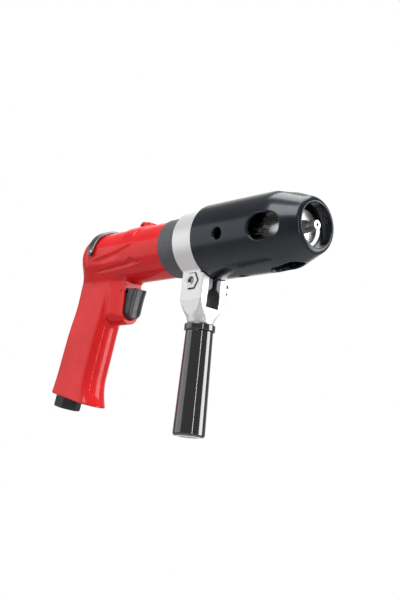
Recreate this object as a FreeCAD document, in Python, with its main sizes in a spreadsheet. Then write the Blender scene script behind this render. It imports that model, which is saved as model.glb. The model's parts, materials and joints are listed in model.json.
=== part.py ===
import FreeCAD, Part
import math
import os

import Sketcher

from FreeCAD import Placement, Rotation, Vector

# Pistol-grip pneumatic drill with a guarded key chuck and a clamp-on side handle.
# Frame: +X is the spindle axis, pointing out of the nose; +Z is up; the origin is on
# the spindle axis at the tips of the chuck jaws, which lie in the plane of the guard's
# nose. All lengths are millimetres and all angles are degrees.

SIZES = {
    # chuck guard: a turned tube with a conical nose, four windows and four vents
    "guard_length": 112.2, "guard_radius": 33.0, "guard_inner_radius": 29.4,
    "guard_taper": 29.0, "guard_nose_radius": 23.2, "guard_mouth_radius": 18.4,
    "guard_lip": 2.2, "guard_collar": 9.0, "guard_edge": 0.7, "guard_screw_radius": 2.5,
    "window_length": 31.0, "window_width": 21.8, "window_middle": 31.4,
    "window_turn": 8.7, "vent_radius": 5.0, "vent_middle": 80.0,
    "guard_socket_depth": 2.4,
    # gear case: carries the ring gear, both spindle bearings, the guard and the clamp
    "case_radius": 26.6, "case_rear": 160.9, "case_front": 104.0,
    "spigot_length": 7.0, "spigot_radius": 22.45, "case_bore_radius": 19.6,
    "case_bore_front": 143.0, "case_web_radius": 11.0, "seal_width": 3.5,
    # deep-groove bearings: spindle pair and rotor pair
    "spindle_radius": 8.5, "spindle_bearing_radius": 17.5, "spindle_bearing_width": 10.0,
    "spindle_bearing_rear": 142.0, "spindle_bearing_front": 118.0, "spindle_ball": 3.0,
    "rotor_shaft_radius": 3.5, "rotor_bearing_radius": 9.5, "rotor_bearing_width": 6.0,
    "rotor_ball": 1.55, "race_gap": 0.05,
    # planetary reduction
    "gear_module": 0.8, "sun_teeth": 12, "planet_teeth": 15, "ring_teeth": 42,
    "gear_rear": 165.0, "gear_width": 12.0, "ring_radius": 19.55, "tooth_play": 0.12,
    "planet_pin_radius": 2.0, "carrier_radius": 18.4, "carrier_width": 5.5,
    "carrier_front": 145.0,
    "running_gap": 0.05,
    # key chuck
    "chuck_rear": 101.0, "chuck_face": 13.0, "chuck_radius": 17.4, "chuck_flange_radius": 19.2,
    "chuck_flange": 10.0, "chuck_bore_radius": 4.9, "chuck_bore_depth": 67.0,
    "chuck_chamfer": 3.2, "spindle_thread_radius": 6.3, "spindle_thread_length": 20.0,
    "sleeve_radius": 21.2, "sleeve_front": 42.0, "sleeve_rear": 90.5, "sleeve_cone": 8.0,
    "sleeve_front_radius": 18.9, "sleeve_teeth": 30, "sleeve_gap": 0.1,
    "key_hole_radius": 3.97, "key_hole_middle": 39.5, "key_hole_bottom": 9.4,
    "nut_rear": 57.0, "nut_width": 8.0, "nut_radius": 19.0,
    "nut_groove_radius": 11.8, "chuck_screw_radius": 3.0,
    "chuck_screw_length": 16.0, "chuck_screw_head": 4.0, "chuck_screw_slot": 1.2,
    "jaw_radius": 3.9, "jaw_tilt": 10.0, "jaw_length": 58.0, "jaw_tip_drop": 0.3,
    "jaw_hole": 1.5, "jaw_gap": 0.15, "jaw_bore_length": 76.0,
    # air motor
    "motor_bore_radius": 22.5, "motor_rear": 250.0, "motor_front": 168.0, "plate_width": 10.0,
    "liner_bore_radius": 17.5, "rotor_radius": 14.9, "liner_offset": 2.5,
    "vane_width": 2.2, "vane_depth": 8.0, "vane_count": 5,
    # housing
    "barrel_radius": 25.6, "dome_end": 285.5, "dome_radius": 23.0, "valve_room_radius": 17.3,
    "valve_room_rear": 266.0, "grip_rake": 13.0, "grip_root": 250.0, "grip_length": 140.0,
    "grip_rear": 31.0, "grip_half_width": 14.0, "grip_start": 15.0, "grip_front": 21.5,
    "grip_toe": 33.0, "grip_corner": 9.0, "grip_toe_corner": 11.0,
    "boss_front": 219.0, "boss_half_width": 9.75, "boss_bottom": 65.5,
    "eye_middle": 210.5, "eye_height": 27.5, "eye_radius": 4.2, "eye_hole_radius": 1.8,
    "eye_half_width": 5.0,
    # reversing lever on the rear shoulder
    "band_radius": 28.3, "band_bore_radius": 26.0, "band_front": 251.0, "band_width": 11.0,
    "band_low_angle": -4.0, "band_sweep": 144.0, "lever_pin_radius": 1.9,
    "lever_pin_middle": 256.5, "lever_pin_foot": 12.0, "lever_slot_sweep": 56.0,
    "lever_slot_width": 4.4, "reverse_port_radius": 2.5, "reverse_port_set": 10.0,
    "valve_disc_width": 12.0, "knob_radius": 3.2, "knob_height": 1.6,
    # trigger and throttle
    "trigger_top": 33.0, "trigger_bottom": 61.0, "trigger_half_width": 7.4,
    "trigger_rear": 230.5, "trigger_nose": 207.0, "trigger_foot": 212.5, "trigger_curl": 34.0,
    "trigger_gap": 0.35, "pocket_rear": 236.5, "throttle_height": 47.0,
    "throttle_bore_radius": 7.0, "throttle_end": 283.5, "supply_middle": 257.0,
    "stem_end": 262.0, "bushing_length": 9.0, "stem_radius": 2.4, "valve_radius": 5.4,
    "valve_width": 4.0, "seat_bore_radius": 3.9, "seat_width": 4.0, "spring_radius": 4.0,
    "spring_wire": 0.5, "spring_turns": 6, "spring_cap": 3.0, "spring_cap_bore": 1.5,
    "roll_pin_radius": 1.0, "roll_pin_middle": 224.0, "roll_pin_height": 35.6,
    "trigger_travel": 5.0,
    # air inlet and exhaust in the foot of the grip
    "inlet_setback": 15.4, "inlet_hex": 22.2, "inlet_drop": 11.0, "inlet_shank_radius": 8.5,
    "inlet_shank_length": 16.0, "inlet_bore_radius": 5.6, "inlet_bore_depth": 14.0,
    "screen_thick": 1.1, "air_bore_radius": 4.6, "exhaust_set": 11.5, "exhaust_length": 20.0,
    "exhaust_width": 17.0, "exhaust_room": 24.0, "exhaust_port_radius": 2.3,
    "exhaust_port_side": 10.2, "exhaust_port_set": 13.0, "cover_width": 2.5,
    "cover_slot": 1.8, "cover_slot_pitch": 3.2,
    # clamp and side handle
    "clamp_rear": 137.7, "clamp_front": 112.7, "clamp_radius": 30.2, "clamp_bore_radius": 26.65,
    "yoke_rear": 135.5, "yoke_front": 109.5, "yoke_half_width": 15.1, "yoke_shoulder": 53.0,
    "yoke_bottom": 72.8, "yoke_end_radius": 12.0, "slit_width": 4.3, "slit_bulb_width": 14.0,
    "slit_bulb_top": 46.0, "slit_bulb_bottom": 58.5, "clamp_bolt_set": 122.5,
    "clamp_bolt_drop": 37.0, "clamp_bolt_radius": 3.9, "nut_across": 12.7, "nut_thick": 6.3,
    "nut_recess": 5.2, "bolt_head_radius": 6.5, "bolt_head_height": 7.0, "washer_radius": 8.0,
    "washer_thick": 1.4,
    "handle_set": 122.5, "collar_bottom": 78.5, "collar_radius": 13.6, "handle_bottom": 168.9,
    "handle_top_radius": 12.6, "handle_bottom_radius": 14.0, "handle_edge": 2.6,
    "stud_radius": 5.0, "stud_length": 38.0, "stud_top": 60.0,
}

PRESSURE_ANGLE = 20.0
GUARD_SCREW_ANGLES = (155, 205)
JAW_ANGLES = (60, 180, 300)

doc = FreeCAD.newDocument("pistol_drill")
sheet = doc.addObject("Spreadsheet::Sheet", "Sizes")
for row, (alias, number) in enumerate(SIZES.items(), start=1):
    sheet.set("A%d" % row, alias)
    sheet.set("B%d" % row, str(number))
    sheet.setAlias("B%d" % row, alias)
doc.recompute()

PIECES = {}


class Size:
    """A number together with the sheet formula that gives it."""

    def __init__(self, value, text):
        self.value = float(value)
        self.text = text

    def __add__(self, other):
        other = as_size(other)
        return Size(self.value + other.value, "(%s + %s)" % (self.text, other.text))

    def __sub__(self, other):
        other = as_size(other)
        return Size(self.value - other.value, "(%s - %s)" % (self.text, other.text))

    def __mul__(self, other):
        other = as_size(other)
        return Size(self.value * other.value, "(%s * %s)" % (self.text, other.text))

    def __truediv__(self, other):
        other = as_size(other)
        return Size(self.value / other.value, "(%s / %s)" % (self.text, other.text))

    def __neg__(self):
        return Size(-self.value, "(0 - %s)" % self.text)

    __radd__ = __add__
    __rmul__ = __mul__


class Sheet:
    """Gives each cell of the sheet as a Size, by its alias."""

    def __getattr__(self, alias):
        return Size(SIZES[alias], "Sizes.%s" % alias)


S = Sheet()
ZERO = Size(0, "0")


def as_size(number):
    return number if isinstance(number, Size) else Size(number, "(%r)" % float(number))


def sine(angle):
    angle = as_size(angle)
    return Size(math.sin(math.radians(angle.value)), "sin(%s * 1 deg)" % angle.text)


def cosine(angle):
    angle = as_size(angle)
    return Size(math.cos(math.radians(angle.value)), "cos(%s * 1 deg)" % angle.text)


def bind(thing, **sizes):
    """Ties properties of a document object to formulas of the sheet."""
    for name, size in sizes.items():
        thing.setExpression(name, as_size(size).text)


def put(thing, place, turn=None):
    """Places an object at (x, y, z), each coordinate tied to the sheet, with an optional turn."""
    thing.Placement = Placement(Vector(*[as_size(c).value for c in place]), turn or Rotation())
    for axis, coordinate in zip("xyz", place):
        thing.setExpression("Placement.Base.%s" % axis, as_size(coordinate).text)
    return thing


# ---------------------------------------------------------------- sketches and solids

class Bend:
    """Marks the stretch after a corner as an arc; turn is +1 for counterclockwise, -1 for clockwise."""

    def __init__(self, radius, turn):
        self.radius = as_size(radius)
        self.turn = turn


def arc_between(start, end, radius, turn):
    """The minor arc from start to end, as a counterclockwise arc of a circle."""
    chord = end - start
    reach = math.sqrt(max(radius ** 2 - (chord.Length / 2) ** 2, 0.0))
    across = Vector(-chord.y, chord.x, 0).normalize()
    centre = (start + end) * 0.5 + across * (reach * turn)
    first, last = (start, end) if turn > 0 else (end, start)
    angles = [math.atan2(p.y - centre.y, p.x - centre.x) for p in (first, last)]
    if angles[1] < angles[0]:
        angles[1] += 2 * math.pi
    return Part.ArcOfCircle(Part.Circle(centre, Vector(0, 0, 1), radius), *angles)


def outline(body, role, corners, lift=ZERO):
    """A closed sketch on one of the body's own planes, every corner tied to the sheet.

    A corner is (u, v) or (u, v, Bend), where the Bend shapes the stretch to the next corner.
    """
    sketch = body.newObject("Sketcher::SketchObject", body.Name + "_outline")
    plane = [o for o in body.Origin.OriginFeatures if o.Role == role][0]
    sketch.AttachmentSupport = (plane, [""])
    sketch.MapMode = "FlatFace"
    sketch.AttachmentOffset = Placement(Vector(0, 0, as_size(lift).value), Rotation())
    sketch.setExpression("AttachmentOffset.Base.z", as_size(lift).text)
    corners = [tuple(as_size(c) if i < 2 else c for i, c in enumerate(corner)) for corner in corners]
    points = [Vector(corner[0].value, corner[1].value, 0) for corner in corners]
    count = len(corners)
    ends = []
    for index, corner in enumerate(corners):
        start, end = points[index], points[(index + 1) % count]
        if len(corner) == 2:
            sketch.addGeometry(Part.LineSegment(start, end))
            ends.append((1, 2))
        else:
            bend = corner[2]
            sketch.addGeometry(arc_between(start, end, bend.radius.value, bend.turn))
            ends.append((1, 2) if bend.turn > 0 else (2, 1))
    for index, corner in enumerate(corners):
        after = (index + 1) % count
        sketch.addConstraint(
            Sketcher.Constraint("Coincident", index, ends[index][1], after, ends[after][0]))
        for kind, size in (("DistanceX", corner[0]), ("DistanceY", corner[1])):
            rule = sketch.addConstraint(
                Sketcher.Constraint(kind, -1, 1, index, ends[index][0], size.value))
            sketch.setExpression("Constraints[%d]" % rule, size.text)
        if len(corner) == 3:
            rule = sketch.addConstraint(Sketcher.Constraint("Radius", index, corner[2].radius.value))
            sketch.setExpression("Constraints[%d]" % rule, corner[2].radius.text)
    return sketch


def turned(name, corners, axis="H_Axis", sweep=360):
    """A body turned about the X axis (or about Z with V_Axis) from a profile of (along, radius)."""
    body = doc.addObject("PartDesign::Body", name)
    sketch = outline(body, "XZ_Plane", corners)
    feature = body.newObject("PartDesign::Revolution", name + "_turned")
    feature.Profile = sketch
    feature.ReferenceAxis = (sketch, [axis])
    feature.Angle = sweep
    return body


def extruded(name, role, corners, start, length):
    """A body padded from an outline along its plane's normal: +X for YZ, +Z for XY, -Y for XZ."""
    body = doc.addObject("PartDesign::Body", name)
    feature = body.newObject("PartDesign::Pad", name + "_pad")
    feature.Profile = outline(body, role, corners, start)
    bind(feature, Length=length)
    return body


def rod(name, radius, length, place, direction):
    """A round bar from a place along a direction."""
    bar = doc.addObject("Part::Cylinder", name)
    bind(bar, Radius=radius, Height=length)
    return put(bar, place, Rotation(Vector(0, 0, 1), Vector(*direction)))


def radial_rod(name, radius, x, start, length, angle):
    """A bar pointing away from the spindle axis; the angle runs from -Y towards +Z."""
    y, z = -math.cos(math.radians(angle)), math.sin(math.radians(angle))
    return rod(name, radius, length, (x, as_size(start) * y, as_size(start) * z), (0, y, z))


def ball(name, radius, place):
    sphere = doc.addObject("Part::Sphere", name)
    bind(sphere, Radius=radius)
    return put(sphere, place)


def block(name, sides, place, turn=None):
    """A box with one corner at a place."""
    box = doc.addObject("Part::Box", name)
    bind(box, Length=sides[0], Width=sides[1], Height=sides[2])
    return put(box, place, turn)


def joined(name, things):
    whole = doc.addObject("Part::MultiFuse", name)
    whole.Shapes = things
    whole.Refine = False
    return whole


def grouped(name, things):
    group = doc.addObject("Part::Compound", name)
    group.Links = things
    return group


def cut(name, base, tools):
    """A base with tools taken away one after another; the last cut has the name."""
    for index, tool in enumerate(tools, start=1):
        step = name if index == len(tools) else "%s_step_%d" % (name, index)
        whole = doc.addObject("Part::Cut", step)
        whole.Base = base
        whole.Tool = tool
        whole.Refine = False
        base = whole
    return base


def overlap(name, first, second):
    whole = doc.addObject("Part::Common", name)
    whole.Base = first
    whole.Tool = second
    return whole


def ring(name, rear, length, inner, outer):
    """A plain ring about the X axis whose rear face is a distance behind the origin."""
    return turned(name, [
        (-rear, inner), (-rear + length, inner), (-rear + length, outer), (-rear, outer)])


def hexagon(across, u=ZERO, v=ZERO):
    """Six corners around (u, v), with two flats square to v."""
    reach = across / math.sqrt(3)
    return [(u + reach * math.cos(math.radians(60 * k)), v + reach * math.sin(math.radians(60 * k)))
            for k in range(6)]


def stadium(middle, length, width):
    """A long hole along u with round ends, centred on (middle, 0)."""
    half = width / 2
    reach = (length - width) / 2
    quarter = Bend(half, 1)
    return [
        (middle - reach, -half), (middle + reach, -half, quarter),
        (middle + reach + half, ZERO, quarter), (middle + reach, half),
        (middle - reach, half, quarter), (middle - reach - half, ZERO, quarter)]


def keep(name, thing, turn=None):
    """Names a finished sub-part, which gives its file and node."""
    if turn is not None:
        thing.Placement = Placement(Vector(), Rotation(Vector(1, 0, 0), turn))
    thing.Label = name
    PIECES[name] = thing
    return thing


# ---------------------------------------------------------------- chuck guard

def make_guard():
    lip = S.guard_lip
    mouth = S.guard_mouth_radius
    blank = turned("guard_blank", [
        (-S.guard_length, S.case_radius + 0.1),
        (-S.guard_length, S.guard_radius - S.guard_edge),
        (-S.guard_length + S.guard_edge, S.guard_radius),
        (-S.guard_taper, S.guard_radius),
        (-lip, S.guard_nose_radius, Bend(lip * 1.3, -1)),
        (ZERO, S.guard_nose_radius - lip * 1.05),
        (ZERO, mouth + lip * 0.6, Bend(lip, -1)),
        (-lip, mouth),
        (-lip * 4, mouth),
        (-S.guard_taper - 2.0, S.guard_inner_radius),
        (-S.guard_length + S.guard_collar, S.guard_inner_radius),
        (-S.guard_length + S.guard_collar, S.case_radius + 0.1),
    ])
    reach = S.guard_radius + 5
    window = stadium(-S.window_middle, S.window_length, S.window_width)
    tools = [
        extruded("side_windows", "XZ_Plane", window, -reach, reach * 2),
        extruded("top_windows", "XY_Plane", window, -reach, reach * 2),
        rod("side_vents", S.vent_radius, reach * 2, (-S.vent_middle, -reach, ZERO), (0, 1, 0)),
        rod("top_vents", S.vent_radius, reach * 2, (-S.vent_middle, ZERO, -reach), (0, 0, 1)),
    ]
    for index, angle in enumerate(GUARD_SCREW_ANGLES):
        tools.append(radial_rod("guard_screw_hole_%d" % index, S.guard_screw_radius,
                                -S.guard_length + S.guard_collar / 2, ZERO, reach, angle))
    keep("chuck_guard", cut("guard", blank, tools), S.window_turn.value)


def make_guard_screws():
    """Two grub screws that lock the guard on the gear case, on the side away from the trigger hand."""
    screws = [radial_rod("guard_screw_%d" % index, S.guard_screw_radius,
                         -S.guard_length + S.guard_collar / 2, S.case_radius + 0.02,
                         S.guard_radius - S.case_radius - 0.4, angle)
              for index, angle in enumerate(GUARD_SCREW_ANGLES)]
    sockets = [radial_rod("guard_socket_%d" % index, S.guard_screw_radius / 2,
                          -S.guard_length + S.guard_collar / 2,
                          S.guard_radius - S.guard_socket_depth - 0.4, S.guard_socket_depth + 1, angle)
               for index, angle in enumerate(GUARD_SCREW_ANGLES)]
    pairs = [cut("guard_grub_%d" % index, screw, [socket])
             for index, (screw, socket) in enumerate(zip(screws, sockets))]
    keep("guard_lock_screws", grouped("guard_grubs", pairs), S.window_turn.value)


# ---------------------------------------------------------------- gear case and bearings

def make_gear_case():
    seat = S.spindle_bearing_radius
    front_seat = -S.spindle_bearing_front
    keep("gear_case", turned("case", [
        (-S.case_rear - S.spigot_length, S.case_bore_radius),
        (-S.case_bore_front, S.case_bore_radius),
        (-S.case_bore_front, seat),
        (-S.spindle_bearing_rear + S.spindle_bearing_width, seat),
        (-S.spindle_bearing_rear + S.spindle_bearing_width, S.case_web_radius),
        (front_seat, S.case_web_radius),
        (front_seat, seat),
        (-S.case_front, seat),
        (-S.case_front, S.case_radius - S.guard_edge),
        (-S.case_front - S.guard_edge, S.case_radius),
        (-S.case_rear + S.guard_edge, S.case_radius),
        (-S.case_rear, S.case_radius - S.guard_edge),
        (-S.case_rear, S.spigot_radius),
        (-S.case_rear - S.spigot_length, S.spigot_radius),
    ]))
    seal_rear = S.spindle_bearing_front - S.spindle_bearing_width
    keep("spindle_seal", ring("seal", seal_rear - 0.05, S.seal_width, S.spindle_radius + 0.05,
                              S.spindle_bearing_radius))


def make_bearing(name, rear, width, inner, outer, ball_radius, balls):
    """A deep-groove ball bearing: two grooved races and a ring of balls."""
    middle = -rear + width / 2
    pitch = (inner + outer) / 2
    groove = ball_radius + S.race_gap
    land = ball_radius * 0.62
    half = Size(math.sqrt(groove.value ** 2 - land.value ** 2),
                "sqrt(%s ^ 2 - %s ^ 2)" % (groove.text, land.text))
    keep(name + "_inner_race", turned(name + "_inner", [
        (-rear, inner), (-rear + width, inner), (-rear + width, pitch - land),
        (middle + half, pitch - land, Bend(groove, -1)), (middle - half, pitch - land),
        (-rear, pitch - land)]))
    keep(name + "_outer_race", turned(name + "_outer", [
        (-rear, outer), (-rear, pitch + land), (middle - half, pitch + land, Bend(groove, -1)),
        (middle + half, pitch + land), (-rear + width, pitch + land), (-rear + width, outer)]))
    spheres = [ball("%s_ball_%d" % (name, k), ball_radius,
                    (middle, pitch * cosine(360 / balls * k), pitch * sine(360 / balls * k)))
               for k in range(balls)]
    keep(name + "_balls", grouped(name + "_ball_set", spheres))


def make_bearings():
    make_bearing("rear_spindle_bearing", S.spindle_bearing_rear, S.spindle_bearing_width,
                 S.spindle_radius, S.spindle_bearing_radius, S.spindle_ball, 10)
    make_bearing("front_spindle_bearing", S.spindle_bearing_front, S.spindle_bearing_width,
                 S.spindle_radius, S.spindle_bearing_radius, S.spindle_ball, 10)
    make_bearing("rear_rotor_bearing", S.motor_rear - 1, S.rotor_bearing_width,
                 S.rotor_shaft_radius, S.rotor_bearing_radius, S.rotor_ball, 8)
    make_bearing("front_rotor_bearing", S.motor_front + S.rotor_bearing_width + 1, S.rotor_bearing_width,
                 S.rotor_shaft_radius, S.rotor_bearing_radius, S.rotor_ball, 8)


# ---------------------------------------------------------------- planetary reduction

def round_point(radius, angle):
    """A point in the YZ plane at a radius and an angle from +Y, in radians."""
    return Vector(0, radius * math.cos(angle), radius * math.sin(angle))


def tooth_outline(teeth, tip, root, play, phase):
    """One gear outline in the YZ plane: involute flanks from base to tip, phase in degrees."""
    module = S.gear_module.value
    pitch = module * teeth / 2
    base = pitch * math.cos(math.radians(PRESSURE_ANGLE))
    half_tooth = (math.pi * module / 2 - play) / 2 / pitch

    def roll(radius):
        """Polar angle that the involute gains between the base circle and a radius."""
        ratio = max(radius / base, 1.0)
        return math.sqrt(ratio ** 2 - 1) - math.acos(1 / ratio)

    start = max(root, base)
    radii = [start + (tip - start) * k / 4 for k in range(5)]
    edges = []
    first = last = None
    for tooth in range(teeth):
        centre = math.radians(phase) + 2 * math.pi * tooth / teeth
        sides = []
        for side in (-1, 1):
            flank = [(r, centre + side * (half_tooth + roll(pitch) - roll(r))) for r in radii]
            sides.append([round_point(r, a) for r, a in flank])
        foot_angle = half_tooth + roll(pitch) - roll(start)
        feet = [round_point(root, centre + side * foot_angle) for side in (-1, 1)]
        if first is None:
            first = feet[0]
        if last is not None:
            gap = centre - math.pi / teeth
            edges.append(Part.Arc(last, round_point(root, gap), feet[0]).toShape())
        if start > root:
            edges.append(Part.makeLine(feet[0], sides[0][0]))
        curve = Part.BSplineCurve()
        curve.interpolate(sides[0])
        edges.append(curve.toShape())
        edges.append(Part.Arc(sides[0][-1], round_point(tip, centre), sides[1][-1]).toShape())
        curve = Part.BSplineCurve()
        curve.interpolate(list(reversed(sides[1])))
        edges.append(curve.toShape())
        if start > root:
            edges.append(Part.makeLine(sides[1][0], feet[1]))
        last = feet[1]
    gap = math.radians(phase) - math.pi / teeth
    edges.append(Part.Arc(last, round_point(root, gap), first).toShape())
    return Part.Wire(edges)


def gear_solid(outline_wire, rear, width):
    """A spur gear or gear-shaped space between two planes across the X axis."""
    solid = Part.Face(outline_wire).extrude(Vector(width.value, 0, 0))
    solid.translate(Vector(-rear.value, 0, 0))
    return solid


def shaped(name, shape):
    """A sub-part whose shape is worked out from the sheet by Part's own functions."""
    thing = doc.addObject("Part::Feature", name)
    thing.Shape = shape
    return thing


def make_gears():
    """Sun, three planets and ring gear, phased so that every pair is in mesh."""
    module = S.gear_module.value
    sun, planet, annulus = (int(S.sun_teeth.value), int(S.planet_teeth.value), int(S.ring_teeth.value))
    sun_pitch, planet_pitch, ring_pitch = (module * teeth / 2 for teeth in (sun, planet, annulus))
    play = S.tooth_play.value
    reach = sun_pitch + planet_pitch
    sun_wire = tooth_outline(sun, sun_pitch + 0.8 * module, sun_pitch - module, play, 0)
    sun_blank = shaped("sun_blank", gear_solid(sun_wire, S.gear_rear, S.gear_width))
    keep("sun_pinion", cut("sun", sun_blank, [
        rod("sun_bore", S.rotor_shaft_radius - 1, S.gear_width + 2,
            (-S.gear_rear - 1, ZERO, ZERO), (1, 0, 0))]))

    ring_phase = 0.0
    for index in range(3):
        around = 90 + 120 * index
        sun_share = (sun * around / 360) % 1
        phase = around + 180 - 360 / planet * (0.5 - sun_share)
        wire = tooth_outline(planet, planet_pitch + 0.8 * module, planet_pitch - module, play, phase)
        solid = gear_solid(wire, S.gear_rear, S.gear_width)
        centre = round_point(reach, math.radians(around))
        solid.translate(centre)
        blank = shaped("planet_blank_%d" % (index + 1), solid)
        bore = rod("planet_bore_%d" % (index + 1), S.planet_pin_radius + S.running_gap, S.gear_width + 2,
                   (-S.gear_rear - 1, centre.y, centre.z), (1, 0, 0))
        keep("planet_gear_%d" % (index + 1), cut("planet_%d" % (index + 1), blank, [bore]))
        if index == 0:
            planet_share = (planet * (around - phase) / 360) % 1
            ring_phase = around - 360 / annulus * planet_share

    space = tooth_outline(annulus, ring_pitch + module, ring_pitch - 0.7 * module, -play, ring_phase)
    space_solid = shaped("ring_space", gear_solid(space, S.gear_rear + 1, S.gear_width + 2))
    blank = rod("ring_blank", S.ring_radius, S.gear_width, (-S.gear_rear, ZERO, ZERO), (1, 0, 0))
    keep("ring_gear", cut("ring", blank, [space_solid]))

    pins = []
    holes = []
    for index in range(3):
        centre = round_point(reach, math.radians(90 + 120 * index))
        pins.append(rod("planet_pin_%d" % (index + 1), S.planet_pin_radius, S.gear_rear - S.carrier_front,
                        (-S.gear_rear - 0.3, centre.y, centre.z), (1, 0, 0)))
        holes.append(rod("carrier_hole_%d" % (index + 1), S.planet_pin_radius, S.carrier_width + 4,
                         (-S.carrier_front - S.carrier_width - 0.3, centre.y, centre.z), (1, 0, 0)))
    keep("planet_pins", grouped("planet_pin_set", pins))

    carrier_rear = -S.carrier_front - S.carrier_width
    shaft = turned("spindle_blank", [
        (carrier_rear, S.rotor_shaft_radius), (carrier_rear, S.carrier_radius),
        (-S.carrier_front, S.carrier_radius), (-S.carrier_front, S.spindle_radius + 1.5),
        (-S.spindle_bearing_rear, S.spindle_radius + 1.5), (-S.spindle_bearing_rear, S.spindle_radius),
        (-S.chuck_rear - 2, S.spindle_radius), (-S.chuck_rear, S.spindle_thread_radius),
        (-S.chuck_rear + S.spindle_thread_length, S.spindle_thread_radius),
        (-S.chuck_rear + S.spindle_thread_length, S.chuck_screw_radius),
        (-S.chuck_rear - 2, S.chuck_screw_radius), (-S.chuck_rear - 2, ZERO),
        (-S.carrier_front - 3, ZERO), (-S.carrier_front - 3, S.rotor_shaft_radius)])
    keep("spindle", cut("spindle_drilled", shaft, holes))


# ---------------------------------------------------------------- key chuck

def jaw_line(offset):
    """A point on the jaw axis, offset behind the jaw tip, in the plane of +Z."""
    return (-as_size(offset) * cosine(S.jaw_tilt), ZERO,
            -S.jaw_tip_drop + as_size(offset) * sine(S.jaw_tilt))


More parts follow.
